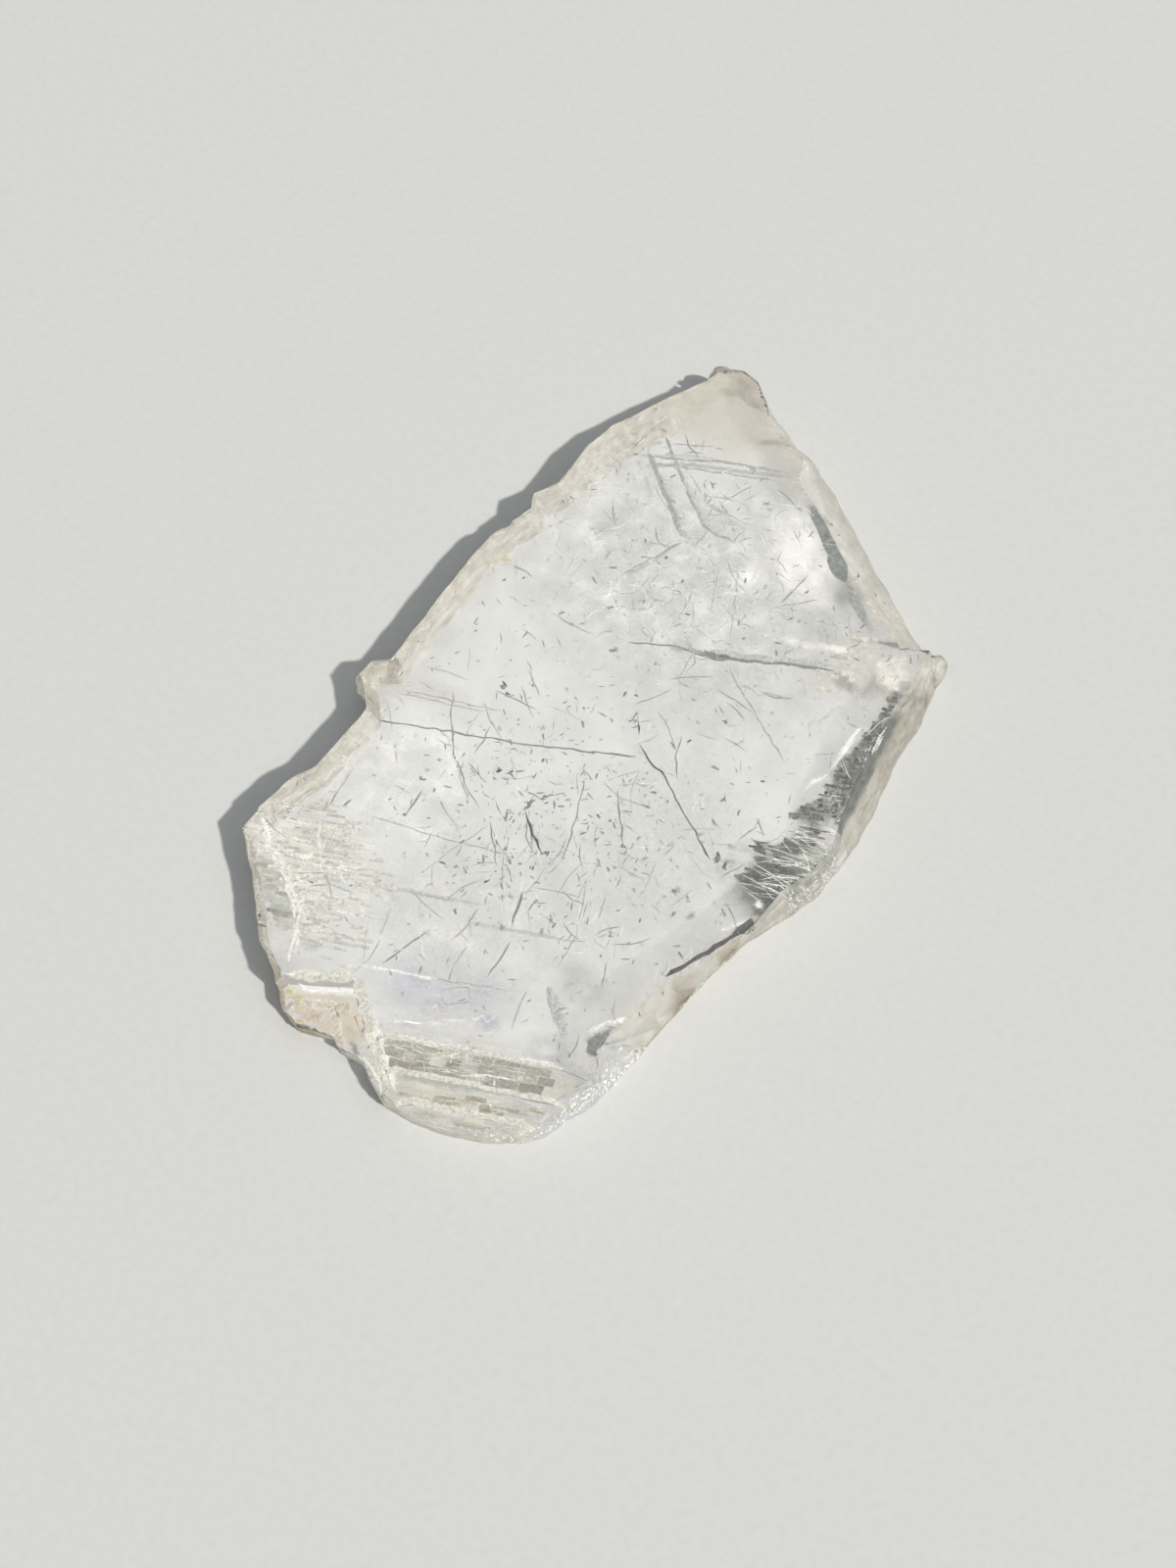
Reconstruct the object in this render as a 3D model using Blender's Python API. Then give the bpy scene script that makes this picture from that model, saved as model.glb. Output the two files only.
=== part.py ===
"""Selenite slab: one clear cleavage plate of gypsum with its broken edge.

The plate lies flat. Its long side runs along Y, its short side along X and its
thickness along Z. The origin is on the underside, at the middle of the slab's box.
Lengths are in millimetres until a mesh is made.
"""
import bmesh
import bpy
from mathutils import Vector, noise

MM = 0.001

# ---- driving dimensions -------------------------------------------------------
THICKNESS = 8.0
BREAK_STEP = 1.6            # spacing of points along the broken edge
BREAK_ROUGHNESS = 0.34      # how far the break wanders in and out
BREAK_GRAIN = 3.2           # size of one lump of the break
WALL_CURVE = 1.4            # how the wall rounds off towards its rim and its foot

# The wall shows the edges of the sheets that the plate splits into. Each sheet is given
# by the share of the thickness where it starts and where it ends.
SHEETS = ((0.0, 0.2), (0.22, 0.42), (0.44, 0.66), (0.68, 0.84), (0.86, 1.0))
SHEET_SHIFT = 0.5           # how far one sheet may stand out past the next

# One entry for each stretch of the edge, clockwise seen from above: its name, how far
# the top rim sits inside the widest line, how far the foot does, and its corners.
STRETCHES = (
    ("tip", 0.7, 2.2, ((-26.8, 52.0), (-26.6, 55.2), (-22.8, 57.9), (-19.6, 57.3))),
    ("tip corner", 1.8, 0.6, ((-17.0, 56.8),)),
    ("upper right", 4.4, 0.3, ((-13.6, 56.8), (-9.6, 54.8), (-7.6, 54.8), (-5.6, 54.3))),
    ("long bevel", 6.6, 0.3, ((-2.6, 53.2), (2.2, 50.8), (7.6, 47.9), (13.6, 44.5), (17.4, 42.5))),
    ("right corner", 6.2, 0.3, ((21.3, 40.5), (24.9, 38.8))),
    ("right hook", 3.2, 0.4, ((27.2, 38.2), (28.4, 36.4))),
    ("deep right", 3.8, 0.2, ((29.7, 31.4), (30.8, 21.6), (32.3, 15.5), (33.3, 9.6))),
    ("crumpled corner", 2.1, 0.3, ((33.9, 3.2), (33.5, -0.8), (32.0, -6.0))),
    ("blade", 0.2, 0.0, ((30.1, -11.0), (28.9, -18.6), (28.3, -26.6), (28.2, -32.6))),
    ("grainy", 1.9, 0.1, ((27.7, -40.2), (25.2, -48.0), (23.4, -50.4))),
    ("bottom", 1.0, 0.2, ((19.6, -53.3), (15.8, -55.5), (11.2, -57.4), (7.0, -57.9))),
    ("lower flakes", 0.5, 0.3, ((3.6, -56.9), (1.6, -55.7), (-2.2, -56.5), (-3.3, -55.5),
                                (-8.0, -57.8), (-11.3, -56.8))),
    ("left end", 0.3, 0.8, ((-15.3, -53.9), (-18.7, -52.6), (-24.0, -48.1), (-31.0, -42.7))),
    ("left shoulder", 0.2, 1.5, ((-30.8, -38.8), (-30.3, -32.8), (-29.3, -29.8), (-29.4, -19.6))),
    ("left knob", 0.3, 2.0, ((-33.8, -16.6), (-34.0, -13.6), (-32.2, -11.6))),
    ("left side", 0.1, 1.8, ((-32.8, -2.4), (-33.8, 7.0), (-34.0, 11.6),
                             (-32.4, 18.6), (-33.4, 20.8), (-32.0, 24.4))),
    ("upper left", 0.1, 3.4, ((-32.6, 32.0), (-31.8, 37.0), (-28.6, 45.8))),
)

# Thin sheets that have split off the top face. Each entry is a name, the height of the
# face that is left, and the line of the riser; the sheet is gone to the right of that
# line, walking along it.
TERRACES = (
    ("first fibre ledge", 7.45, ((-0.5, -56.0), (2.6, -51.2), (13.6, -45.4), (23.0, -40.4),
                                 (32.0, -38.6))),
    ("second fibre ledge", 6.5, ((2.0, -59.0), (6.4, -53.6), (16.4, -48.3), (32.0, -40.9))),
    ("third fibre ledge", 5.0, ((6.5, -60.0), (10.2, -55.3), (20.2, -50.0), (32.0, -44.2))),
    ("left shoulder step", 7.7, ((-34.0, -37.4), (-29.4, -39.8), (-24.8, -42.8), (-20.6, -44.2),
                                 (-16.8, -46.0), (-14.6, -49.6), (-12.6, -52.8), (-12.0, -62.0))),
    ("shoulder foot", 6.9, ((-30.6, -45.0), (-26.0, -45.6), (-22.0, -47.4), (-18.2, -49.8),
                            (-15.8, -52.6), (-15.4, -62.0))),
)

# The flake bed is a pocket in the lower left of the plate, with a riser along the
# fibres and another along the second cleavage, and a deeper step inside it. Each entry
# is a name, the height of the face that is left, and the outline that is cut away.
POCKETS = (
    ("flake bed", 4.3, ((-12.6, -53.6), (-5.2, -48.2), (-3.2, -49.0), (0.9, -52.2), (6.6, -55.6),
                        (9.0, -66.0), (-14.0, -66.0))),
    ("flake step", 3.1, ((-10.6, -55.2), (-6.2, -52.2), (-1.6, -55.6), (2.6, -58.0),
                         (2.6, -66.0), (-10.6, -66.0))),
)

RISER_PIECE = 2.4           # length of one straight piece of a riser
RISER_WANDER = 0.28         # how far a riser strays from its line
CLEAR_ABOVE = 2.0           # how far a cutter stands above the top face
CLEAR_BESIDE = 40.0         # how far a cutter reaches past the edge

# The blade is one long fracture that leans out to the foot of the wall: pairs of a
# place on its upper edge and the place below it on its foot.
BLADE = (
    ((31.8, -5.8), (31.8, -6.2)),
    ((28.0, -16.2), (29.7, -15.4)),
    ((25.5, -24.4), (28.9, -22.2)),
    ((24.3, -35.6), (28.5, -28.6)),
)
BLADE_FOOT_HEIGHT = 1.4
BLADE_REACH = (20.0, -4.0, 0.0)      # the way out of the slab for its cutter
BLADE_OVERRUN = 0.4                  # share of the face that the cutter adds above it

# Shell-shaped chips out of the edge: centre, and half lengths along X, Y and Z.
CHIPS = (
    ((35.6, 6.0, 9.0), (3.6, 4.6, 3.6)),
    ((35.4, -2.6, 8.8), (3.4, 4.0, 3.9)),
    ((31.5, 24.8, 9.6), (3.0, 5.4, 3.0)),
    ((30.6, -35.4, 7.6), (6.0, 4.8, 5.6)),
    ((29.4, -44.2, 7.4), (4.4, 5.0, 4.6)),
    ((-35.2, 14.8, 9.4), (2.8, 3.4, 2.6)),
)

# Lumps grown on the edge: centre, and half lengths along X, Y and Z.
LUMPS = (
    ((-31.9, -15.4, 4.9), (2.5, 2.4, 2.3)),
    ((-31.6, -12.9, 4.4), (2.2, 2.2, 2.5)),
    ((-24.4, 55.0, 4.4), (2.9, 2.6, 2.5)),
    ((26.2, 35.8, 2.6), (2.3, 2.2, 2.2)),
)
LUMP_ROUGHNESS = 0.34
CHIP_ROUGHNESS = 0.2

CLEAR_COLOUR = (0.87, 0.86, 0.83, 1.0)
CLEAR_ROUGHNESS = 0.08
GYPSUM_IOR = 1.52


def clear_scene():
    for old in list(bpy.data.objects):
        bpy.data.objects.remove(old, do_unlink=True)


def add_object(name, bm):
    """A mesh object from a bmesh in millimetres, at the origin."""
    bmesh.ops.scale(bm, vec=Vector((MM, MM, MM)), verts=bm.verts)
    bmesh.ops.recalc_face_normals(bm, faces=bm.faces)
    mesh = bpy.data.meshes.new(name)
    bm.to_mesh(mesh)
    bm.free()
    obj = bpy.data.objects.new(name, mesh)
    bpy.context.scene.collection.objects.link(obj)
    return obj


def wander(place, size):
    """Smooth irregularity from -1 to 1, in lumps of the given size."""
    return noise.noise(Vector(place) / size)


# ---- the plate and its broken wall --------------------------------------------
def edge_points():
    """Points along the widest line, each with the lean of its rim and its foot."""
    corners = [(Vector(corner), rim, foot)
               for _, rim, foot, line in STRETCHES for corner in line]
    points = []
    for index, (start, rim, foot) in enumerate(corners):
        end, next_rim, next_foot = corners[(index + 1) % len(corners)]
        count = max(1, round((end - start).length / BREAK_STEP))
        for step in range(count):
            part = step / count
            points.append((start.lerp(end, part),
                           rim + (next_rim - rim) * part,
                           foot + (next_foot - foot) * part))
    return points


def inward_normals(points):
    """Unit vectors across the edge towards the inside of the clockwise outline."""
    count = len(points)
    normals = []
    for index in range(count):
        along = points[(index + 2) % count][0] - points[index - 2][0]
        normals.append(Vector((along.y, -along.x)).normalized())
    return normals


def wall_inset(sheet, level, rim, foot, place):
    """How far inside the widest line a sheet's edge is, level 0 at the foot, 1 at the rim."""
    lean = rim * level ** WALL_CURVE + foot * (1.0 - level) ** WALL_CURVE
    rough = wander((place.x, place.y, 5.0 * level), BREAK_GRAIN)
    own = wander((place.x + 30.0 * sheet, place.y, 7.0 * sheet), 1.6 * BREAK_GRAIN)
    return lean + BREAK_ROUGHNESS * (0.7 + rough) + SHEET_SHIFT * max(0.0, own)


def make_plate():
    points = edge_points()
    normals = inward_normals(points)
    bm = bmesh.new()
    rings = []
    for sheet, levels in enumerate(SHEETS):
        for level in levels:
            ring = []
            for (place, rim, foot), normal in zip(points, normals):
                spot = place + normal * wall_inset(sheet, level, rim, foot, place)
                ring.append(bm.verts.new((spot.x, spot.y, level * THICKNESS)))
            rings.append(ring)
    count = len(points)
    for low, high in zip(rings, rings[1:]):
        for index in range(count):
            following = (index + 1) % count
            bm.faces.new((low[index], low[following], high[following], high[index]))
    bm.faces.new(rings[0])
    bm.faces.new(rings[-1])
    return add_object("slab", bm)


# ---- what has split, chipped or grown -----------------------------------------
def prism(name, outline, low, high):
    """A closed upright prism on an outline given in the plan."""
    bm = bmesh.new()
    face = bm.faces.new([bm.verts.new((x, y, low)) for x, y in outline])
    grown = bmesh.ops.extrude_face_region(bm, geom=[face])
    top = [item for item in grown["geom"] if isinstance(item, bmesh.types.BMVert)]
    bmesh.ops.translate(bm, verts=top, vec=Vector((0.0, 0.0, high - low)))
    return add_object(name, bm)


def terrace_outline(riser):
    """Closes a riser line far outside the slab, on its right-hand side."""
    start = Vector(riser[0])
    end = Vector(riser[-1])
    along = (end - start).normalized()
    outward = Vector((along.y, -along.x)) * CLEAR_BESIDE
    return list(riser) + [tuple(end + outward), tuple(start + outward)]


def jagged(line):
    """A riser line broken into short pieces that wander a little."""
    out = []
    for start, end in zip(line, line[1:]):
        first = Vector(start)
        last = Vector(end)
        count = max(1, round((last - first).length / RISER_PIECE))
        across = Vector((last.y - first.y, first.x - last.x)).normalized()
        for step in range(count):
            spot = first.lerp(last, step / count)
            shift = RISER_WANDER * wander((spot.x * 1.7, spot.y * 1.7, 9.0), RISER_PIECE)
            out.append(tuple(spot + across * shift))
    out.append(tuple(line[-1]))
    return out


def make_blade_cutter():
    """A long wedge that leaves the leaning blade face on the wall."""
    reach = Vector(BLADE_REACH)
    bm = bmesh.new()
    rings = []
    for top_place, foot_place in BLADE:
        top = Vector((*top_place, THICKNESS))
        foot = Vector((*foot_place, BLADE_FOOT_HEIGHT))
        over = top + (top - foot) * BLADE_OVERRUN
        profile = (foot, over, over + reach, foot + reach)
        rings.append([bm.verts.new(spot) for spot in profile])
    bm.faces.new(rings[0])
    bm.faces.new(rings[-1])
    for before, after in zip(rings, rings[1:]):
        for index in range(4):
            following = (index + 1) % 4
            bm.faces.new((before[index], before[following], after[following], after[index]))
    bmesh.ops.triangulate(bm, faces=bm.faces)
    return add_object("blade cutter", bm)


def pebble(name, centre, half, roughness):
    """An uneven rounded lump, used both to add and to chip away."""
    bm = bmesh.new()
    bmesh.ops.create_icosphere(bm, subdivisions=3, radius=1.0)
    middle = Vector(centre)
    for vert in bm.verts:
        swell = 1.0 + roughness * wander(vert.co * 1.6 + middle, 1.1)
        vert.co = middle + Vector(tuple(vert.co[axis] * half[axis] * swell for axis in range(3)))
    return add_object(name, bm)


def combine(slab, other, operation):
    other.hide_render = True
    other.display_type = "WIRE"
    step = slab.modifiers.new(other.name, "BOOLEAN")
    step.operation = operation
    step.solver = "EXACT"
    step.object = other


def finish_shape(slab):
    """Turns the cuts and lumps into one mesh and puts its box's bottom centre at the origin."""
    view_layer = bpy.context.view_layer
    view_layer.update()
    finished = slab.evaluated_get(bpy.context.evaluated_depsgraph_get())
    mesh = bpy.data.meshes.new_from_object(finished)
    tools = [step.object for step in slab.modifiers]
    slab.modifiers.clear()
    slab.data = mesh
    for tool in tools:
        bpy.data.objects.remove(tool, do_unlink=True)
    spots = [vert.co for vert in mesh.vertices]
    low = Vector(tuple(min(spot[axis] for spot in spots) for axis in range(3)))
    high = Vector(tuple(max(spot[axis] for spot in spots) for axis in range(3)))
    middle = (low + high) / 2.0
    shift = Vector((-middle.x, -middle.y, -low.z))
    for vert in mesh.vertices:
        vert.co += shift


def crystal_material():
    material = bpy.data.materials.new("clear_gypsum")
    material.use_nodes = True
    shader = material.node_tree.nodes["Principled BSDF"]
    shader.inputs["Base Color"].default_value = CLEAR_COLOUR
    shader.inputs["Roughness"].default_value = CLEAR_ROUGHNESS
    shader.inputs["IOR"].default_value = GYPSUM_IOR
    shader.inputs["Transmission Weight"].default_value = 1.0
    return material


def main():
    clear_scene()
    slab = make_plate()
    for index, (centre, half) in enumerate(LUMPS):
        combine(slab, pebble("lump %d" % index, centre, half, LUMP_ROUGHNESS), "UNION")
    for name, height, riser in TERRACES:
        outline = terrace_outline(jagged(riser))
        combine(slab, prism(name, outline, height, THICKNESS + CLEAR_ABOVE), "DIFFERENCE")
    for name, height, outline in POCKETS:
        combine(slab, prism(name, outline, height, THICKNESS + CLEAR_ABOVE), "DIFFERENCE")
    combine(slab, make_blade_cutter(), "DIFFERENCE")
    for index, (centre, half) in enumerate(CHIPS):
        combine(slab, pebble("chip %d" % index, centre, half, CHIP_ROUGHNESS), "DIFFERENCE")
    finish_shape(slab)
    slab.data.materials.append(crystal_material())


main()
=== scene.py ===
import math
import random

import bmesh
import bpy
from mathutils import Matrix, Vector, noise
from mathutils.bvhtree import BVHTree


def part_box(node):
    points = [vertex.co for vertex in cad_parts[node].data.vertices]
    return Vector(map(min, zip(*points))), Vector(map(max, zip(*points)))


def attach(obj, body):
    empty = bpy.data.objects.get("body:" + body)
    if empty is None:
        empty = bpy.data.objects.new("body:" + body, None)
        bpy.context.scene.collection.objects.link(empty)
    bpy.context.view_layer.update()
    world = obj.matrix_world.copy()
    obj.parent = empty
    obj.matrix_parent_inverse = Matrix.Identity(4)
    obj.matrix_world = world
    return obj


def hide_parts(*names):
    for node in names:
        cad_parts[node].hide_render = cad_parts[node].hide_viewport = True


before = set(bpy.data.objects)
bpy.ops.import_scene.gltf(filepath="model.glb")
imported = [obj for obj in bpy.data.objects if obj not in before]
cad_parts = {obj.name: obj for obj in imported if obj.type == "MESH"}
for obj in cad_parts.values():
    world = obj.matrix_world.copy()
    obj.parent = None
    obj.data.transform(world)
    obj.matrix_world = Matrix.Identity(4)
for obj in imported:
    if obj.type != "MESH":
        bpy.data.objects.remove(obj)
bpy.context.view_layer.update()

# ---- Camera -----------------------------------------------------------------------
# A hand-held view down onto the slab from close by, turned so that the long side of the
# slab runs up to the right.
MM = 0.001
VIEW_RISE = math.radians(68.0)
VIEW_TURN = math.radians(39.0)
VIEW_DISTANCE = 216.0 * MM
VIEW_AIM = Vector((-0.53, -6.76, 0.0)) * MM
VIEW_LENS = 24.0
VIEW_SENSOR = 24.0
VIEW_CLIP = 5.0 * MM

bpy.ops.object.select_all(action="DESELECT")
view_ahead = Vector((-math.sin(VIEW_TURN), math.cos(VIEW_TURN), 0.0))
view_place = VIEW_AIM - view_ahead * VIEW_DISTANCE * math.cos(VIEW_RISE)
view_place.z += VIEW_DISTANCE * math.sin(VIEW_RISE)
bpy.ops.object.camera_add(location=view_place, rotation=(math.pi / 2 - VIEW_RISE, 0.0, VIEW_TURN))
camera = bpy.context.object
camera.data.sensor_fit = "VERTICAL"
camera.data.sensor_height = VIEW_SENSOR
camera.data.lens = VIEW_LENS
camera.data.clip_start = VIEW_CLIP
bpy.context.scene.camera = camera

# ---- Paper floor and lights --------------------------------------------------------
# The slab lies on a sheet of pale, slightly mottled paper. Warm sun comes in from its right
# long side, and one wide, dim lamp with a dim sky stands for the daylight around it.
FLOOR_SIZE = 1.6
FLOOR_DROP = 0.05 * MM
PAPER_TONES = ((0.2, (0.755, 0.757, 0.742)), (0.8, (0.805, 0.807, 0.792)))
SUN_RISE = math.radians(50.0)
SUN_TURN = math.radians(4.0)
SUN_STRENGTH = 2.3
SUN_WIDTH = math.radians(2.5)
SUN_COLOUR = (1.0, 0.97, 0.92)
SUN_DISTANCE = 0.5
SKY_COLOUR = (0.93, 0.97, 1.0)
SKY_STRENGTH = 0.06
SOFTBOX_SIZE = 1.4
SOFTBOX_PLACE = (0.12, 0.0, 0.8)
SOFTBOX_POWER = 3.6


def set_inputs(node, values):
    """Gives inputs of a node a value each, or joins them to the output passed instead."""
    for name, value in values.items():
        if isinstance(value, bpy.types.NodeSocket):
            node.id_data.links.new(value, node.inputs[name])
        else:
            node.inputs[name].default_value = value


def add_node(tree, kind, values, **settings):
    """A new shader node with its inputs and its settings."""
    node = tree.nodes.new("ShaderNode" + kind)
    for name, setting in settings.items():
        setattr(node, name, setting)
    set_inputs(node, values)
    return node


def add_noise(tree, **values):
    """The value of a noise laid over a piece: the larger its scale, the finer it is."""
    place = add_node(tree, "TexCoord", {})
    inputs = {name.title(): value for name, value in values.items()}
    return add_node(tree, "TexNoise", {"Vector": place.outputs["Object"], **inputs}).outputs["Fac"]


def add_ramp(tree, value, stops):
    """The colour that a ramp gives a value, from its stops: position and colour."""
    ramp = add_node(tree, "ValToRGB", {"Fac": value})
    elements = ramp.color_ramp.elements
    for element, (position, colour) in zip(elements, (stops[0], stops[-1])):
        element.position = position
        element.color = (*colour, 1.0)
    for position, colour in stops[1:-1]:
        elements.new(position).color = (*colour, 1.0)
    return ramp.outputs["Color"]


def new_material(name, values):
    """A material with values for its main shader, and its node tree."""
    material = bpy.data.materials.new(name)
    material.use_nodes = True
    set_inputs(material.node_tree.nodes["Principled BSDF"], values)
    return material, material.node_tree


bpy.ops.mesh.primitive_plane_add(size=FLOOR_SIZE, location=(0.0, 0.0, -FLOOR_DROP))
floor = bpy.context.object
floor.name = "paper_floor"
pale_paper, tree = new_material("pale_paper", {"Roughness": 0.9, "Specular IOR Level": 0.2})
paper_fibre = add_noise(tree, scale=900.0, detail=5.0)
set_inputs(tree.nodes["Principled BSDF"], {"Base Color": add_ramp(tree, paper_fibre, PAPER_TONES)})
floor.data.materials.append(pale_paper)

sun_from = Vector((math.cos(SUN_RISE) * math.cos(SUN_TURN), math.cos(SUN_RISE) * math.sin(SUN_TURN),
                   math.sin(SUN_RISE)))
bpy.ops.object.light_add(type="SUN", location=sun_from * SUN_DISTANCE)
sun = bpy.context.object
sun.rotation_euler = sun_from.to_track_quat("Z", "Y").to_euler()
sun.data.energy = SUN_STRENGTH
sun.data.angle = SUN_WIDTH
sun.data.color = SUN_COLOUR

bpy.ops.object.light_add(type="AREA", location=SOFTBOX_PLACE)
softbox = bpy.context.object
softbox.data.shape = "SQUARE"
softbox.data.size = SOFTBOX_SIZE
softbox.data.energy = SOFTBOX_POWER
softbox.data.color = SKY_COLOUR
for lamp in (sun, softbox):
    lamp.data.cycles.use_multiple_importance_sampling = False

world = bpy.data.worlds.new("soft_sky")
world.use_nodes = True
sky = {"Color": (*SKY_COLOUR, 1.0), "Strength": SKY_STRENGTH}
set_inputs(world.node_tree.nodes["Background"], sky)
bpy.context.scene.world = world
bpy.context.scene.view_settings.view_transform = "Standard"
bpy.context.scene.cycles.caustics_refractive = False
bpy.context.scene.cycles.caustics_reflective = False

# ---- Crystal plate ------------------------------------------------------------------
# One clear cleavage plate of gypsum. Its top and underside are smooth cleavage faces; its
# edge is a break that shows the sheets it splits into, frosted by countless tiny steps.
MERGE_REACH = 0.002 * MM
FLAT_ANGLE = math.radians(0.5)
WALL_SLOPE = 0.9              # faces that lean more than this from level belong to the break
CLEAVED_AREA = 4.0 * MM ** 2  # and so do level ones that are smaller than this
WALL_CUTS = 3                 # cuts across each facet of the break
LAMINA_DEPTH = 0.14 * MM      # how far the thin sheets stand out from each other
LAMINA_HEIGHT = 0.42 * MM
LAMINA_LENGTH = 2.6 * MM
CHIP_DEPTH = 0.09 * MM        # small chips between the sheets
CHIP_SIZE = 0.8 * MM
CHIP_FLATNESS = 2.0           # a chip is this much longer than it is high
RIM_CALM = 0.35               # how much of this wear is left where the break meets a face
RISER_BESIDE = 0.5 * MM       # how far beside a riser the next sheet is looked for
FAR_ABOVE = 1.0
RISER_FLOOR = 2.5 * MM        # lowest sheet that can lie at the foot of a riser
RISER_CALM = 0.15             # how much of the wear of the break a riser has
RISER_SLANT = 0.10            # how far a riser runs out for each millimetre it falls
RISER_RUN = 0.3 * MM          # and how far at most
CLEAR_TINT = (0.985, 0.985, 0.98, 1.0)
GYPSUM_IOR = 1.52
BREAK_CLARITY = 0.42
BREAK_TONES = ((0.34, (0.82, 0.79, 0.73)), (0.46, (0.88, 0.87, 0.83)), (0.62, (0.97, 0.97, 0.95)))
RISER_CLARITY = 0.6
RISER_TONES = ((0.3, (0.90, 0.88, 0.82)), (0.55, (1.0, 1.0, 0.99)))
ALL_LIGHT = (1.0, 1.0, 1.0, 1.0)
NO_LIGHT = (0.0, 0.0, 0.0, 1.0)
CLEAR_SLOT = 0
BREAK_SLOT = 1
RISER_SLOT = 2
SHARP_ANGLE = math.radians(32.0)
DOWN = Vector((0.0, 0.0, -1.0))
UP = Vector((0.0, 0.0, 1.0))


def is_cleaved(face):
    """Whether a face is a smooth cleavage face, not a part of the break."""
    return abs(face.normal.z) >= WALL_SLOPE and face.area > CLEAVED_AREA


def surface_of(data, faces):
    """Some faces of a mesh, as a surface to look for places on."""
    return BVHTree.FromPolygons([vert.co.copy() for vert in data.vertices],
                                [tuple(face.vertices) for face in faces])


def worn(place):
    """How far the break stands out: its thin sheets, and the chips between them."""
    x, y, z = place
    lamina = noise.noise(Vector((x / LAMINA_LENGTH, y / LAMINA_LENGTH, z / LAMINA_HEIGHT)))
    chip = noise.cell(Vector((x, y, z * CHIP_FLATNESS)) / CHIP_SIZE) - 0.5
    return lamina * LAMINA_DEPTH + chip * CHIP_DEPTH


bpy.ops.object.select_all(action="DESELECT")
crystal = bpy.data.objects.new("crystal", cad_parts["slab"].data.copy())
bpy.context.scene.collection.objects.link(crystal)
bpy.context.view_layer.objects.active = crystal
crystal.select_set(True)
crystal.data.materials.clear()
bpy.ops.object.mode_set(mode="EDIT")
bpy.ops.mesh.select_all(action="SELECT")
bpy.ops.mesh.remove_doubles(threshold=MERGE_REACH)
bpy.ops.mesh.dissolve_limited(angle_limit=FLAT_ANGLE)
bpy.ops.mesh.select_mode(type="FACE")
bpy.ops.mesh.select_all(action="DESELECT")
bpy.ops.object.mode_set(mode="OBJECT")
for face in crystal.data.polygons:
    face.select = not is_cleaved(face)
bpy.ops.object.mode_set(mode="EDIT")
bpy.ops.mesh.subdivide(number_cuts=WALL_CUTS)
bpy.ops.object.mode_set(mode="OBJECT")

# A wall with a flat sheet right below it is a riser inside the plate, not the break.
plate_surface = surface_of(crystal.data, crystal.data.polygons)
flat_points = set()
riser_points = set()
break_points = set()
wall_points = {}
for face in crystal.data.polygons:
    if is_cleaved(face):
        flat_points.update(face.vertices)
        continue
    foot, below, _, _ = plate_surface.ray_cast(face.center + face.normal * RISER_BESIDE, DOWN)
    is_riser = foot is not None and foot.z > RISER_FLOOR and below.z > WALL_SLOPE
    face.material_index = RISER_SLOT if is_riser else BREAK_SLOT
    beside_points = riser_points if is_riser else break_points
    beside_points.update(face.vertices)
    for index in face.vertices:
        wall_points[index] = wall_points.get(index, Vector()) + face.normal * face.area
for index, normal in wall_points.items():
    outward = Vector((normal.x, normal.y, 0.0))
    if outward.length == 0.0:
        continue
    outward.normalize()
    place = crystal.data.vertices[index].co
    push = worn(place)
    if index in riser_points:
        push *= RISER_CALM
        if index not in break_points:
            beside = place - outward * RISER_BESIDE
            sheet, _, _, _ = plate_surface.ray_cast(Vector((beside.x, beside.y, FAR_ABOVE)), DOWN)
            if sheet is not None:
                push += min(RISER_RUN, RISER_SLANT * max(0.0, sheet.z - place.z))
    elif index in flat_points:
        push *= RIM_CALM
    crystal.data.vertices[index].co = place + outward * push


def pass_sunlight(tree, passed):
    """Lets this part of the sunlight straight through a material instead of bending it."""
    shader = tree.nodes["Principled BSDF"]
    straight = add_node(tree, "BsdfTransparent", {"Color": passed})
    path = add_node(tree, "LightPath", {})
    mix = add_node(tree, "MixShader", {0: path.outputs["Is Shadow Ray"], 1: shader.outputs[0],
                                       2: straight.outputs[0]})
    set_inputs(tree.nodes["Material Output"], {"Surface": mix.outputs[0]})


def add_range(tree, value, start, end, from_start=0.0, from_end=1.0):
    """A value moved from one range to another, and held inside it."""
    values = {"Value": value, "From Min": from_start, "From Max": from_end, "To Min": start, "To Max": end}
    return add_node(tree, "MapRange", values).outputs[0]


def add_dents(tree, height, strength, distance):
    """The normal of a surface with small dents."""
    dents = add_node(tree, "Bump", {"Height": height, "Strength": strength, "Distance": distance})
    return dents.outputs[0]


def read_layer(tree, name, output):
    """A value or colour that the mesh carries at its points."""
    return add_node(tree, "Attribute", {}, attribute_name=name).outputs[output]


clear_gypsum, tree = new_material("clear_gypsum", {"Base Color": CLEAR_TINT, "IOR": GYPSUM_IOR,
                                                   "Transmission Weight": 1.0})
fine = add_noise(tree, scale=420.0, detail=6.0)
cloud = add_noise(tree, scale=160.0, detail=5.0)
set_inputs(tree.nodes["Principled BSDF"], {"Roughness": add_range(tree, fine, 0.03, 0.12, 0.35, 0.75),
                                           "Normal": add_dents(tree, fine, 0.12, 0.05 * MM)})
pass_sunlight(tree, add_range(tree, cloud, 1.07, 1.18, 0.35, 0.65))
crystal.data.materials.append(clear_gypsum)

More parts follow.
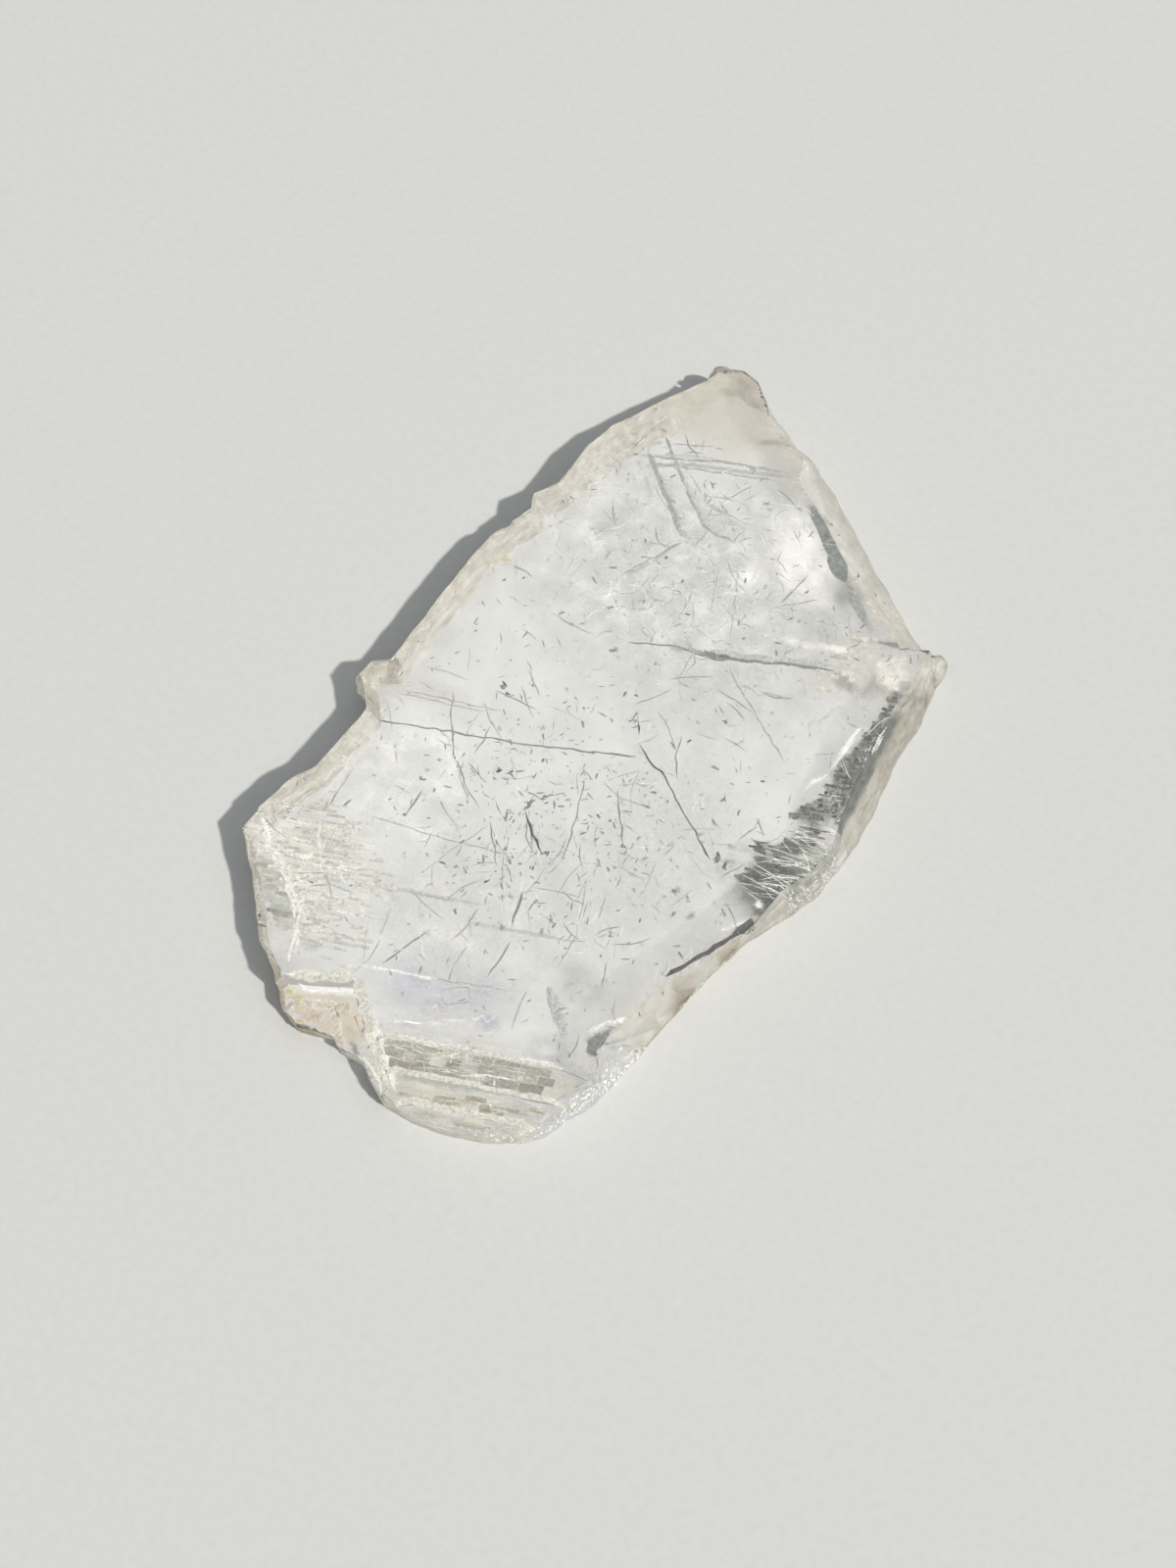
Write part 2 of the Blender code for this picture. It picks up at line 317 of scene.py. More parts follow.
broken_gypsum, tree = new_material("broken_gypsum", {"IOR": GYPSUM_IOR, "Transmission Weight": BREAK_CLARITY})
stain = add_noise(tree, scale=520.0, detail=5.0, roughness=0.62)
toned = add_node(tree, "VectorMath", {0: add_ramp(tree, stain, BREAK_TONES),
                                      1: read_layer(tree, "wall_tone", "Color")}, operation="MULTIPLY")
set_inputs(tree.nodes["Principled BSDF"], {"Base Color": toned.outputs[0],
                                           "Roughness": add_range(tree, stain, 0.70, 0.30),
                                           "Normal": add_dents(tree, stain, 0.25, 0.12 * MM)})
pass_sunlight(tree, read_layer(tree, "light_passed", "Fac"))
crystal.data.materials.append(broken_gypsum)

# The risers between the sheets are closely frosted and paler than the outer break.
split_edge, tree = new_material("split_edge", {"Roughness": 0.45, "IOR": GYPSUM_IOR,
                                               "Transmission Weight": RISER_CLARITY})
scales = add_noise(tree, scale=900.0, detail=4.0)
set_inputs(tree.nodes["Principled BSDF"], {"Base Color": add_ramp(tree, scales, RISER_TONES),
                                           "Normal": add_dents(tree, scales, 0.3, 0.05 * MM)})
pass_sunlight(tree, ALL_LIGHT)
crystal.data.materials.append(split_edge)

# Sunlight is held back by the break where it leaves the plate. Where it enters, it passes
# near the rim and the foot, and almost everywhere through the bevel, the blade and the
# ledges: place, half lengths along X and Y, and share.
LIGHT_SPOTS = (
    ((4.0, 50.0), (26.0, 16.0), 0.8),
    ((24.0, 39.0), (9.0, 9.0), 0.9),
    ((30.0, -24.0), (12.0, 19.0), 0.92),
    ((18.0, -52.0), (22.0, 18.0), 0.85),
    ((31.0, 18.0), (6.0, 17.0), 0.88),
    ((-18.0, 56.0), (10.0, 8.0), 0.85),
)
RIM_LIGHT = (6.4, 7.6)
FOOT_LIGHT = (0.9, 0.5)
SUNNY_SIDE = 0.05
SPOT_CORE = 0.75

# The colour of the break: cream in general, with these stretches of their own: place,
# half lengths along X and Y, colours at the foot and the rim, the heights between which
# one turns into the other, and how mottled it is.
BREAK_CREAM = (0.95, 0.92, 0.84)
WALL_TONES = (
    ((5.0, 48.0), (22.0, 11.0), (0.80, 0.78, 0.71), (0.98, 0.98, 0.95), (4.0, 6.4), 0.1),
    ((-19.0, 57.0), (9.0, 6.0), (0.82, 0.79, 0.72), (0.90, 0.88, 0.81), (4.0, 6.4), 0.12),
    ((25.0, 38.0), (6.0, 6.0), (0.82, 0.80, 0.73), (0.88, 0.86, 0.80), (4.0, 6.4), 0.15),
    ((31.0, 20.0), (7.0, 17.0), (0.56, 0.53, 0.46), (0.64, 0.62, 0.55), (4.0, 6.4), 0.5),
    # The next two darken to painted shade at the rim, where the break meets the shadow strip.
    ((29.5, 21.0), (3.5, 7.0), (0.56, 0.53, 0.46), (0.20, 0.21, 0.19), (5.0, 6.0), 0.3),
    ((31.0, 10.0), (4.5, 8.5), (0.66, 0.64, 0.57), (0.19, 0.20, 0.18), (5.2, 6.2), 0.3),
    ((33.0, 0.5), (6.0, 6.5), (0.86, 0.85, 0.81), (0.58, 0.59, 0.56), (3.5, 6.0), 0.35),
    ((29.0, -20.0), (6.0, 15.0), (0.72, 0.66, 0.56), (0.84, 0.82, 0.76), (1.4, 2.4), 0.15),
    ((28.3, -23.0), (1.3, 2.4), (0.46, 0.39, 0.31), (0.55, 0.49, 0.41), (4.0, 6.4), 0.3),
    ((29.2, -14.6), (1.0, 2.2), (0.50, 0.43, 0.33), (0.60, 0.54, 0.44), (4.0, 6.4), 0.3),
    ((27.5, -41.0), (7.0, 9.0), (0.80, 0.82, 0.86), (0.80, 0.81, 0.82), (2.0, 5.0), 0.12),
    ((-10.0, -55.0), (6.0, 4.0), (0.72, 0.56, 0.36), (0.94, 0.86, 0.70), (4.0, 6.4), 0.15),
)
MOTTLE_SIZE = 0.8


def fade(value, start, end):
    """0 at start, 1 at end, and straight between them."""
    return min(1.0, max(0.0, (value - start) / (end - start)))


def spot_share(x, y, centre, half):
    """1 in the middle of an oval spot, 0 past its edge."""
    return fade(math.hypot((x - centre[0]) / half[0], (y - centre[1]) / half[1]), 1.0, SPOT_CORE)


crystal.data.attributes.new("light_passed", "FLOAT", "POINT")
crystal.data.attributes.new("wall_tone", "FLOAT_COLOR", "POINT")
for index, normal in wall_points.items():
    x, y, z = crystal.data.vertices[index].co / MM
    share = 0.0
    if normal.normalized().dot(Vector((sun_from.x, sun_from.y, 0.0))) > SUNNY_SIDE:
        share = max(fade(z, *RIM_LIGHT), fade(z, *FOOT_LIGHT))
        for centre, half, most in LIGHT_SPOTS:
            share = max(share, most * spot_share(x, y, centre, half))
    colour = Vector(BREAK_CREAM)
    for centre, half, foot_tone, rim_tone, heights, mottle in WALL_TONES:
        own = Vector(foot_tone).lerp(Vector(rim_tone), fade(z, *heights))
        own *= 1.0 + mottle * noise.noise(Vector((x, y, z)) / MOTTLE_SIZE)
        colour = colour.lerp(own, spot_share(x, y, centre, half))
    crystal.data.attributes["light_passed"].data[index].value = share
    crystal.data.attributes["wall_tone"].data[index].color = (*colour, 1.0)
bpy.ops.object.shade_smooth_by_angle(angle=SHARP_ANGLE)
for face in crystal.data.polygons:
    if face.material_index == CLEAR_SLOT:
        face.use_smooth = False
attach(crystal, "root")
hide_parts("slab")

# ---- Cleavage veils -----------------------------------------------------------------
# Thin films of air and dust on cleavage planes that have opened a little inside the plate:
# milky towards the break, cream and ochre at the foot, grey where they turn light away.
# Some are painted light instead: slate films paint the shade along the right break, at the
# crumpled corner and above the blade, grey bands the shadow under the bevel, and white
# patches the pearly sheen.
VEILS = (("upper_veils", 7.7 * MM), ("lower_veils", 3.2 * MM))
VEIL_STEP = 0.45 * MM
VEIL_AROUND = ((0, 0), (1, 0), (-1, 0), (0, 1), (0, -1))
VEIL_COVER = 0.3 * MM          # least thickness of crystal above a veil
VEIL_MARGIN = 0.12 * MM        # and beside it
VEIL_REACH = 1.05              # steps past the edge from which a point is drawn back in
VEIL_SLOPE = 0.75              # a veil that would lean more than this is left out
BARE_COVER = 0.02              # and so is one that would cover less than this
RAGGED_SIZE = 0.9
PATCH_CORE = 0.5
BAND_CORE = 0.4
BAND_TAPER = 6.0
BAND_TIP = 0.25
EDGE_HAZE = 0.5
EDGE_HAZE_WIDTH = 1.6
FIBRE_TURN = math.radians(28.0)

# The tones of the veils, and their kinds: grained by both cleavages, in soft patches, or
# with hardly any grain.
MILKY = (0.81, 0.81, 0.76)
PEARL = (1.0, 0.98, 0.95)
BEIGE = (0.68, 0.64, 0.55)
CREAM = (0.68, 0.65, 0.56)
SANDY = (0.63, 0.61, 0.54)
HAZY = (0.66, 0.66, 0.62)
TAN = (0.70, 0.64, 0.54)
OCHRE = (0.66, 0.52, 0.28)
OLIVE = (0.34, 0.33, 0.25)
# Slate grey paints shade in the shadow strip, at the crumpled corner and along the blade; for the centre
# crack it is the crack's own dark.
SLATE_AND_SHADE = (0.15, 0.165, 0.15)
GREYGREEN = (0.44, 0.46, 0.41)
GREY = (0.36, 0.36, 0.35)
BLUISH = (0.62, 0.66, 0.72)
LAVENDER = (0.60, 0.585, 0.655)
VIOLET = (0.48, 0.465, 0.555)
WHITE = (1.0, 0.99, 0.97)
CLEAVED = 0.0
CLOUDY = 1.0
SMOOTH = 1.7

# Veils in soft oval patches: name, level, centre, half lengths, turn, cover, colour, kind.
PATCHES = (
    ("tip", 0, (-20.0, 50.0), (10.5, 10.5), 0.0, 0.75, BEIGE, SMOOTH),
    ("tip side", 0, (-9.5, 48.8), (8.0, 4.2), -24.0, 0.5, BEIGE, SMOOTH),
    # The next two are a painted sheen: bright white patches for light glancing off opened cleavages.
    ("painted pearly sheen", 0, (3.0, 36.6), (9.5, 5.4), -40.0, 0.95, PEARL, SMOOTH),
    ("pearl spot", 0, (0.5, 31.0), (5.0, 3.4), 20.0, 0.7, WHITE, SMOOTH),
    ("corner window", 0, (23.2, 29.8), (4.5, 3.4), 10.0, 0.8, WHITE, SMOOTH),
    ("corner haze", 0, (19.0, 27.0), (9.0, 6.0), 30.0, 0.6, BEIGE, CLOUDY),
    ("right mottle", 0, (11.6, 29.6), (4.6, 3.4), 20.0, 0.5, GREYGREEN, CLOUDY),
    ("corner blot", 0, (19.2, 24.3), (2.6, 1.5), 0.0, 0.75, GREY, CLOUDY),
    ("left end", 0, (-21.0, -40.5), (13.0, 9.0), 28.0, 0.55, MILKY, CLEAVED),
    ("left mottle", 0, (-19.5, -38.4), (6.5, 4.2), 28.0, 0.35, BEIGE, CLEAVED),
    ("lower milk", 0, (-1.0, -34.0), (17.0, 8.0), 28.0, 0.35, MILKY, CLOUDY),
    ("right milk", 0, (15.0, -9.0), (13.0, 16.0), 28.0, 0.45, HAZY, CLOUDY),
    ("lower end", 0, (12.0, -50.6), (16.0, 7.5), 28.0, 0.65, SANDY, CLEAVED),
    ("lower rim cream", 0, (13.0, -54.0), (14.0, 3.6), 28.0, 0.7, CREAM, CLEAVED),
    ("dirty corner", 0, (19.8, -40.0), (4.6, 2.4), 28.0, 0.35, GREY, CLOUDY),
    ("smudge", 0, (18.0, -31.0), (5.0, 3.0), 10.0, 0.3, GREY, CLOUDY),
    ("blot under the tip", 0, (-21.3, 23.0), (2.0, 1.0), 30.0, 0.5, GREY, CLOUDY),
    ("lavender haze", 0, (4.5, -42.4), (11.0, 6.5), 20.0, 0.5, LAVENDER, CLOUDY),
    ("lavender ring", 0, (1.5, -43.0), (2.2, 1.6), 20.0, 0.45, VIOLET, CLOUDY),
    ("lavender foot", 0, (5.4, -45.0), (2.2, 1.5), 20.0, 0.4, VIOLET, CLOUDY),
    ("lavender spot", 0, (11.6, -42.2), (2.4, 1.4), 28.0, 0.6, VIOLET, CLOUDY),
    ("knob flare", 0, (-25.0, -13.0), (8.0, 2.2), 28.0, 0.35, BEIGE, CLEAVED),
    ("upper clouds", 1, (-6.0, 24.0), (30.0, 24.0), 0.0, 0.4, GREYGREEN, CLOUDY),
    ("upper light", 0, (-10.0, 24.0), (26.0, 22.0), 0.0, 0.3, WHITE, CLOUDY),
    ("lower clouds", 1, (6.0, -28.0), (24.0, 16.0), 28.0, 0.15, GREYGREEN, CLOUDY),
    ("left light", 0, (-18.0, -24.0), (11.0, 12.0), 0.0, 0.4, WHITE, CLOUDY),
    ("yellow speck", 0, (-29.1, 9.5), (1.5, 0.8), 50.0, 0.8, OCHRE, CLOUDY),
)

# Veils with an edge of their own: name, level, feather in millimetres, cover, colour, kind
# and outline.
AREAS = (
    # Painted shadow: the shade that the right break throws on the paper under the plate.
    ("shadow strip", 0, 0.5, 0.86, SLATE_AND_SHADE, CLOUDY, (
        (24.9, 27.6), (26.7, 28.2), (27.1, 23.4), (28.2, 18.1), (29.6, 15.1), (31.2, 9.9), (30.9, 7.2),
        (29.6, 6.6), (28.0, 4.8), (24.7, 3.4), (25.1, 5.8), (26.2, 8.3), (26.0, 11.6), (25.3, 13.2),
        (25.6, 17.0), (25.6, 21.8))),
    # Painted shade: the dark of the crumpled corner, in this veil and the lower one after it.
    ("crumpled zone", 0, 0.5, 0.92, SLATE_AND_SHADE, CLOUDY, (
        (22.7, -1.8), (25.8, -0.1), (26.5, 2.4), (27.4, 4.8), (29.6, 6.6), (29.3, 3.8), (28.9, 0.9),
        (29.3, -1.8), (29.2, -5.7), (31.7, -6.6), (30.6, -9.9), (28.9, -10.1), (28.6, -7.6), (25.5, -7.9),
        (24.2, -7.3), (25.4, -4.9), (24.5, -3.2))),
    ("crumpled depth", 1, 1.2, 0.8, SLATE_AND_SHADE, CLOUDY, (
        (28.5, 5.0), (31.4, 3.8), (30.5, -3.0), (31.0, -10.7), (26.0, -8.5), (22.9, -1.9), (26.5, 0.2))),
    ("fibrous zone", 0, 1.0, 0.7, GREYGREEN, CLEAVED, (
        (27.9, 1.0), (30.6, 3.5), (33.9, 5.5), (34.9, -0.1), (33.7, -3.2), (32.4, -5.1), (29.8, -5.7),
        (29.7, -3.2))),
    ("olive stain", 0, 0.8, 0.6, OLIVE, CLOUDY, (
        (25.5, 4.4), (26.4, 7.9), (27.7, 7.0), (28.4, 4.1), (26.5, 2.9))),
    ("blade shade", 0, 0.5, 0.9, SLATE_AND_SHADE, CLOUDY, (
        (30.0, -10.3), (28.4, -12.5), (28.1, -16.6), (26.2, -19.5), (26.0, -21.8), (27.5, -18.9),
        (29.3, -14.5), (30.9, -9.0), (31.7, -6.5), (30.2, -9.4))),
    ("left blocks", 0, 0.6, 0.75, GREYGREEN, CLEAVED, (
        (-26.4, -44.2), (-23.6, -42.3), (-21.1, -43.7), (-17.9, -44.8), (-15.1, -47.3), (-15.4, -48.7),
        (-17.5, -50.0), (-21.7, -47.9))),
    ("left foot block", 0, 0.5, 0.8, GREYGREEN, CLEAVED, (
        (-13.6, -49.0), (-11.5, -47.3), (-10.5, -48.3), (-12.2, -49.7))),
    ("flake", 0, 0.4, 0.9, TAN, SMOOTH, (
        (-10.4, -53.8), (-7.5, -51.4), (-4.0, -49.3), (-1.5, -50.9), (1.3, -51.9), (0.6, -54.0),
        (-2.6, -55.6), (-6.1, -56.4), (-9.2, -56.0))),
    ("ochre stain", 0, 0.8, 0.85, OCHRE, CLOUDY, (
        (-12.5, -54.2), (-9.6, -53.7), (-7.9, -54.4), (-7.0, -56.1), (-9.9, -56.0))),
    ("first block", 0, 0.5, 0.8, GREYGREEN, CLEAVED, (
        (4.3, -50.7), (8.1, -48.6), (9.3, -51.1), (6.3, -52.9))),
    ("second block", 0, 0.5, 0.75, GREYGREEN, CLEAVED, (
        (9.9, -48.2), (14.7, -45.3), (15.9, -47.1), (11.4, -50.4))),
    ("third block", 0, 0.4, 0.85, GREYGREEN, CLEAVED, (
        (7.2, -53.5), (9.8, -51.7), (13.2, -49.3), (17.0, -47.2), (18.4, -48.4), (15.0, -50.2),
        (7.8, -54.2))),
    ("fourth block", 0, 0.4, 0.75, GREY, CLEAVED, (
        (17.6, -46.7), (20.4, -45.1), (20.0, -47.5), (18.4, -48.1))),
    ("fifth block", 0, 0.4, 0.8, GREY, CLEAVED, (
        (18.3, -43.1), (21.9, -41.2), (22.7, -42.2), (19.0, -43.9))),
    ("sixth block", 0, 0.4, 0.7, OLIVE, CLEAVED, (
        (10.3, -56.6), (13.7, -54.2), (14.2, -54.7), (11.3, -56.9))),
    ("pale corner", 0, 1.0, 0.7, CREAM, CLOUDY, (
        (22.1, -41.4), (25.9, -38.3), (27.9, -40.7), (25.0, -43.8), (21.9, -44.9))),
    ("bluish foot", 0, 0.6, 0.75, BLUISH, CLOUDY, (
        (25.5, -36.9), (26.7, -33.3), (29.1, -29.9), (29.2, -32.6), (28.9, -36.9), (27.4, -38.8))),
    ("dark corner", 0, 0.4, 0.95, SLATE_AND_SHADE, CLOUDY, (
        (22.6, -35.8), (24.7, -31.8), (25.2, -34.6), (25.4, -37.3), (24.0, -37.4))),
)

# Veils in bands: name, level, half width, cover, colour, kind and line.
BANDS = (
    # Painted shadow: grey bands for the shade that the bevel throws on the paper below.
    ("bevel shadow", 0, 1.0, 0.8, GREY, CLOUDY, ((-1.1, 43.9), (1.0, 43.2), (4.8, 40.8), (8.8, 37.8))),
    ("bevel shadow foot", 0, 0.8, 0.55, GREY, CLOUDY, (
        (7.6, 38.6), (10.7, 37.0), (14.3, 34.6), (17.8, 32.9))),
    ("bevel rim", 0, 0.7, 0.7, WHITE, CLOUDY, ((-1.0, 45.2), (4.6, 42.4), (11.4, 38.8), (16.6, 35.8))),
    ("strip rim", 0, 0.45, 0.95, WHITE, CLOUDY, (
        (24.6, 20.4), (24.8, 18.4), (25.0, 16.6), (25.3, 13.2), (25.1, 11.1), (24.4, 9.7), (24.4, 7.8))),
    ("zone arc", 0, 0.35, 0.9, WHITE, CLOUDY, ((25.9, 8.6), (27.1, 9.8), (28.3, 10.0))),
    ("zone foot", 0, 0.5, 0.9, WHITE, CLOUDY, ((28.6, -8.2), (29.6, -8.6))),
    ("blade rim", 0, 0.4, 0.9, WHITE, CLOUDY, ((27.4, -14.2), (27.9, -13.1), (29.2, -10.9))),
    ("first fold", 0, 0.6, 0.6, GREY, CLOUDY, ((-23.5, 35.7), (-17.8, 32.7), (-13.6, 29.8), (-10.5, 28.4))),
    ("second fold", 0, 0.4, 0.5, GREY, CLOUDY, (
        (-23.5, 39.0), (-15.8, 35.3), (-11.1, 32.6), (-8.4, 31.7), (-6.0, 32.1))),
    ("third fold", 0, 0.4, 0.55, GREY, CLOUDY, ((-14.3, 18.1), (-12.7, 22.7), (-11.8, 27.1))),
    ("tip line", 0, 0.45, 0.6, GREY, CLOUDY, ((-24.0, 33.9), (-17.9, 38.9), (-10.8, 43.0), (-6.2, 45.9))),
    ("upper tip line", 0, 0.3, 0.5, GREY, CLOUDY, (
        (-25.2, 35.2), (-18.9, 40.1), (-11.5, 43.8), (-6.5, 46.4))),
    ("scribble", 0, 0.5, 0.45, GREY, CLOUDY, ((-12.2, 35.0), (-9.8, 35.3), (-7.4, 34.8), (-9.6, 33.8))),
    ("centre crack", 0, 0.32, 0.8, SLATE_AND_SHADE, CLOUDY, (
        (-2.3, 14.3), (2.8, 16.2), (8.5, 19.7), (12.8, 22.5), (16.9, 24.7))),
    ("centre crack shade", 0, 0.7, 0.75, SLATE_AND_SHADE, CLOUDY, ((1.8, 15.9), (5.0, 17.6))),
    ("white ruffle", 0, 0.7, 0.8, WHITE, CLOUDY, ((8.6, 24.4), (11.4, 25.4), (14.9, 27.5), (18.2, 29.1))),
    ("left milky edge", 0, 0.8, 0.4, MILKY, CLEAVED, ((-18.9, -31.1), (-11.9, -38.5), (-5.5, -46.7))),
    ("left ridge", 0, 0.45, 0.9, PEARL, CLOUDY, (
        (-28.6, -39.6), (-25.3, -41.9), (-22.1, -42.7), (-18.1, -44.6), (-15.1, -47.3))),
    ("second ridge", 0, 0.35, 0.8, PEARL, CLOUDY, ((-18.3, -39.9), (-16.3, -42.4))),
    ("first streak", 0, 0.32, 0.75, GREY, CLOUDY, (
        (-13.5, -38.6), (-11.2, -37.5), (-3.6, -33.6), (1.2, -30.8))),
    ("second streak", 0, 0.3, 0.6, GREY, CLOUDY, ((1.3, -33.9), (6.3, -31.1), (12.4, -27.8))),
    ("upright streak", 0, 0.5, 0.6, GREY, CLOUDY, ((15.9, -34.0), (17.6, -35.1), (20.3, -37.0))),
    ("left ledge", 0, 0.5, 0.8, PEARL, CLOUDY, (
        (-12.2, -53.3), (-10.2, -53.0), (-7.7, -51.4), (-4.1, -48.6))),
    ("flake riser", 0, 0.6, 0.85, PEARL, CLOUDY, ((1.2, -50.9), (4.9, -53.3), (8.0, -55.5))),
    ("lower rim line", 0, 0.4, 0.9, WHITE, CLOUDY, ((22.3, -35.1), (23.3, -33.3), (25.0, -30.8))),
    ("lower dark line", 0, 0.35, 0.7, OLIVE, CLOUDY, ((15.4, -54.5), (20.6, -51.5))),
)


def line_distance(spot, line):
    """Distance from a place to a line of points, and how far along it that is, 0 to 1."""
    best = (1e9, 0.0)
    for index, (start, end) in enumerate(zip(line, line[1:])):
        first = Vector(start)
        along = Vector(end) - first
        part = min(1.0, max(0.0, (spot - first).dot(along) / along.length_squared))
        best = min(best, ((spot - first - along * part).length, (index + part) / (len(line) - 1)))
    return best


def is_near(spot, line, reach):
    """Whether a place is within reach of the box around a line of points."""
    return all(min(side) - reach < value < max(side) + reach for side, value in zip(zip(*line), spot))


def outline_depth(spot, outline):
    """How far inside a closed outline a place is, below 0 outside it."""
    inside = False
    for start, end in zip(outline, outline[1:] + outline[:1]):
        if (start[1] > spot.y) != (end[1] > spot.y):
            if spot.x < start[0] + (spot.y - start[1]) * (end[0] - start[0]) / (end[1] - start[1]):
                inside = not inside
    return line_distance(spot, outline + outline[:1])[0] * (1.0 if inside else -1.0)


def veil_at(level, spot, from_break):
    """Cover, colour and kind of the veils at one place, each laid over the one before."""
    films = []
    for _, at, centre, half, turn, cover, tone, kind in PATCHES:
        if at == level:
            away = spot - Vector(centre)
            away.rotate(Matrix.Rotation(-math.radians(turn), 2))
            reach = math.hypot(away.x / half[0], away.y / half[1])
            films.append((cover * fade(reach, 1.0, PATCH_CORE), tone, kind))
    for _, at, feather, cover, tone, kind, outline in AREAS:
        if at == level and is_near(spot, outline, feather):
            ragged = feather * noise.noise(Vector((spot.x, spot.y, 0.0)) / RAGGED_SIZE)
            films.append((cover * fade(outline_depth(spot, outline) + ragged, 0.0, feather), tone, kind))
    for _, at, half_width, cover, tone, kind, line in BANDS:
        if at == level and is_near(spot, line, half_width):
            away, along = line_distance(spot, line)
            taper = min(1.0, BAND_TAPER * along + BAND_TIP, BAND_TAPER * (1.0 - along) + BAND_TIP)
            films.append((cover * fade(away / half_width / taper, 1.0, BAND_CORE), tone, kind))
    whole = EDGE_HAZE * math.exp(-from_break / EDGE_HAZE_WIDTH) if level == 0 else 0.0
    colour = Vector(BEIGE)
    whole_kind = CLOUDY
    for cover, tone, kind in films:
        if cover > 0.0:
            share = cover / (cover + whole * (1.0 - cover))
            colour = colour.lerp(Vector(tone), share)
            whole_kind += (kind - whole_kind) * share
            whole += cover * (1.0 - whole)
    return whole, colour, whole_kind


crystal_surface = surface_of(crystal.data, crystal.data.polygons)
break_faces = [face for face in crystal.data.polygons if face.material_index == BREAK_SLOT]
break_surface = surface_of(crystal.data, break_faces)
low, high = (Vector(corner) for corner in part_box("slab"))


def sheet_at(x, y):
    """Place and normal of the crystal's upper side over a point, both None past its edge."""
    place, normal, _, _ = crystal_surface.ray_cast(Vector((x, y, high.z * 2.0)), DOWN)
    return place, normal


def settle(point):
    """Lowers a point of a veil below the sheets around it and draws it in from the break.
    Gives its distance from the break, 0 where it lay past it, or None where it is too far out."""
    sheets = [sheet_at(point.co.x + x * VEIL_STEP, point.co.y + y * VEIL_STEP) for x, y in VEIL_AROUND]
    top = sheets[0][0]
    if top is not None:
        lids = [top.z] + [place.z for place, normal in sheets[1:]
                          if place is not None and place.z > RISER_FLOOR and normal.z > WALL_SLOPE]
        point.co.z = min(point.co.z, min(lids) - VEIL_COVER)
    edge, outward, _, distance = break_surface.find_nearest(point.co)
    _, lid_normal, _, _ = crystal_surface.ray_cast(point.co, UP)
    inside = lid_normal is not None and lid_normal.z > 0.0 and top is not None
    if not inside and distance > VEIL_STEP * VEIL_REACH:
        return None
    if not inside or distance < VEIL_MARGIN:
        point.co.x = edge.x - outward.x * VEIL_MARGIN
        point.co.y = edge.y - outward.y * VEIL_MARGIN
    return distance / MM if inside else 0.0


veils = []
span = high - low
for level, (name, height) in enumerate(VEILS):
    bpy.ops.object.select_all(action="DESELECT")
    bpy.ops.mesh.primitive_grid_add(x_subdivisions=round(span.x / VEIL_STEP),
                                    y_subdivisions=round(span.y / VEIL_STEP),
                                    size=1.0, location=(0.0, 0.0, height))
    veil = bpy.context.object
    veil.name = name
    veil.scale = (span.x, span.y, 1.0)
    bpy.ops.object.transform_apply(location=True, rotation=True, scale=True)
    veil.data.attributes.new("cover", "FLOAT", "POINT")
    veil.data.attributes.new("tone", "FLOAT_COLOR", "POINT")
    veil.data.attributes.new("cloudy", "FLOAT", "POINT")
    layers = veil.data.attributes
    stray = []
    for index, point in enumerate(veil.data.vertices):
        from_break = settle(point)
        if from_break is None:
            stray.append(index)
            continue
        cover, colour, cloudy = veil_at(level, Vector((point.co.x, point.co.y)) / MM, from_break)
        layers["cover"].data[index].value = cover
        layers["tone"].data[index].color = (*colour, 1.0)
        layers["cloudy"].data[index].value = cloudy
    mesh = bmesh.new()
    mesh.from_mesh(veil.data)
    mesh.verts.ensure_lookup_table()
    bmesh.ops.delete(mesh, geom=[mesh.verts[index] for index in stray], context="VERTS")
    cover_key = mesh.verts.layers.float["cover"]
    mesh.normal_update()
    bare = [face for face in mesh.faces if max(vert[cover_key] for vert in face.verts) < BARE_COVER
            or abs(face.normal.z) < VEIL_SLOPE]
    bmesh.ops.delete(mesh, geom=bare, context="FACES")
    mesh.to_mesh(veil.data)
    mesh.free()
    veils.append(veil)

# The grain that the two cleavages leave in every veil: streaks along the fibres, blocks
# where the second cleavage cuts them, and soft clouds.
STREAK_STRETCH = (170.0, 2300.0, 300.0)
BLOCK_WAVER = (0.9 * MM, 0.7 * MM, 0.0)
cleavage_grain = bpy.data.node_groups.new("cleavage_grain", "ShaderNodeTree")
for name in ("Streaks", "Blocks", "Clouds"):
    cleavage_grain.interface.new_socket(name, in_out="OUTPUT", socket_type="NodeSocketFloat")
place = add_node(cleavage_grain, "TexCoord", {}).outputs["Object"]
turned = add_node(cleavage_grain, "Mapping", {"Vector": place, "Rotation": (0.0, 0.0, FIBRE_TURN)},
                  vector_type="TEXTURE")
stretched = add_node(cleavage_grain, "VectorMath", {0: turned.outputs[0], 1: STREAK_STRETCH},
                     operation="MULTIPLY")
streaks = add_node(cleavage_grain, "TexNoise", {"Vector": stretched.outputs[0], "Scale": 1.0, "Detail": 4.0})
waver = add_node(cleavage_grain, "TexNoise", {"Vector": place, "Scale": 600.0})
wavering = add_node(cleavage_grain, "VectorMath", {0: waver.outputs["Color"], 1: BLOCK_WAVER,
                                                   2: turned.outputs[0]}, operation="MULTIPLY_ADD")
blocks = add_node(cleavage_grain, "TexBrick", {
    "Vector": wavering.outputs[0], "Color1": NO_LIGHT, "Color2": ALL_LIGHT, "Mortar": NO_LIGHT, "Scale": 1.0,
    "Mortar Size": 0.05 * MM, "Mortar Smooth": 0.6, "Brick Width": 2.7 * MM, "Row Height": 0.85 * MM})
block_shade = add_node(cleavage_grain, "SeparateColor", {0: blocks.outputs["Color"]})
grain_out = cleavage_grain.nodes.new("NodeGroupOutput")
set_inputs(grain_out, {"Streaks": streaks.outputs["Fac"], "Blocks": block_shade.outputs[0],
                       "Clouds": add_noise(cleavage_grain, scale=260.0, detail=5.0, roughness=0.56)})

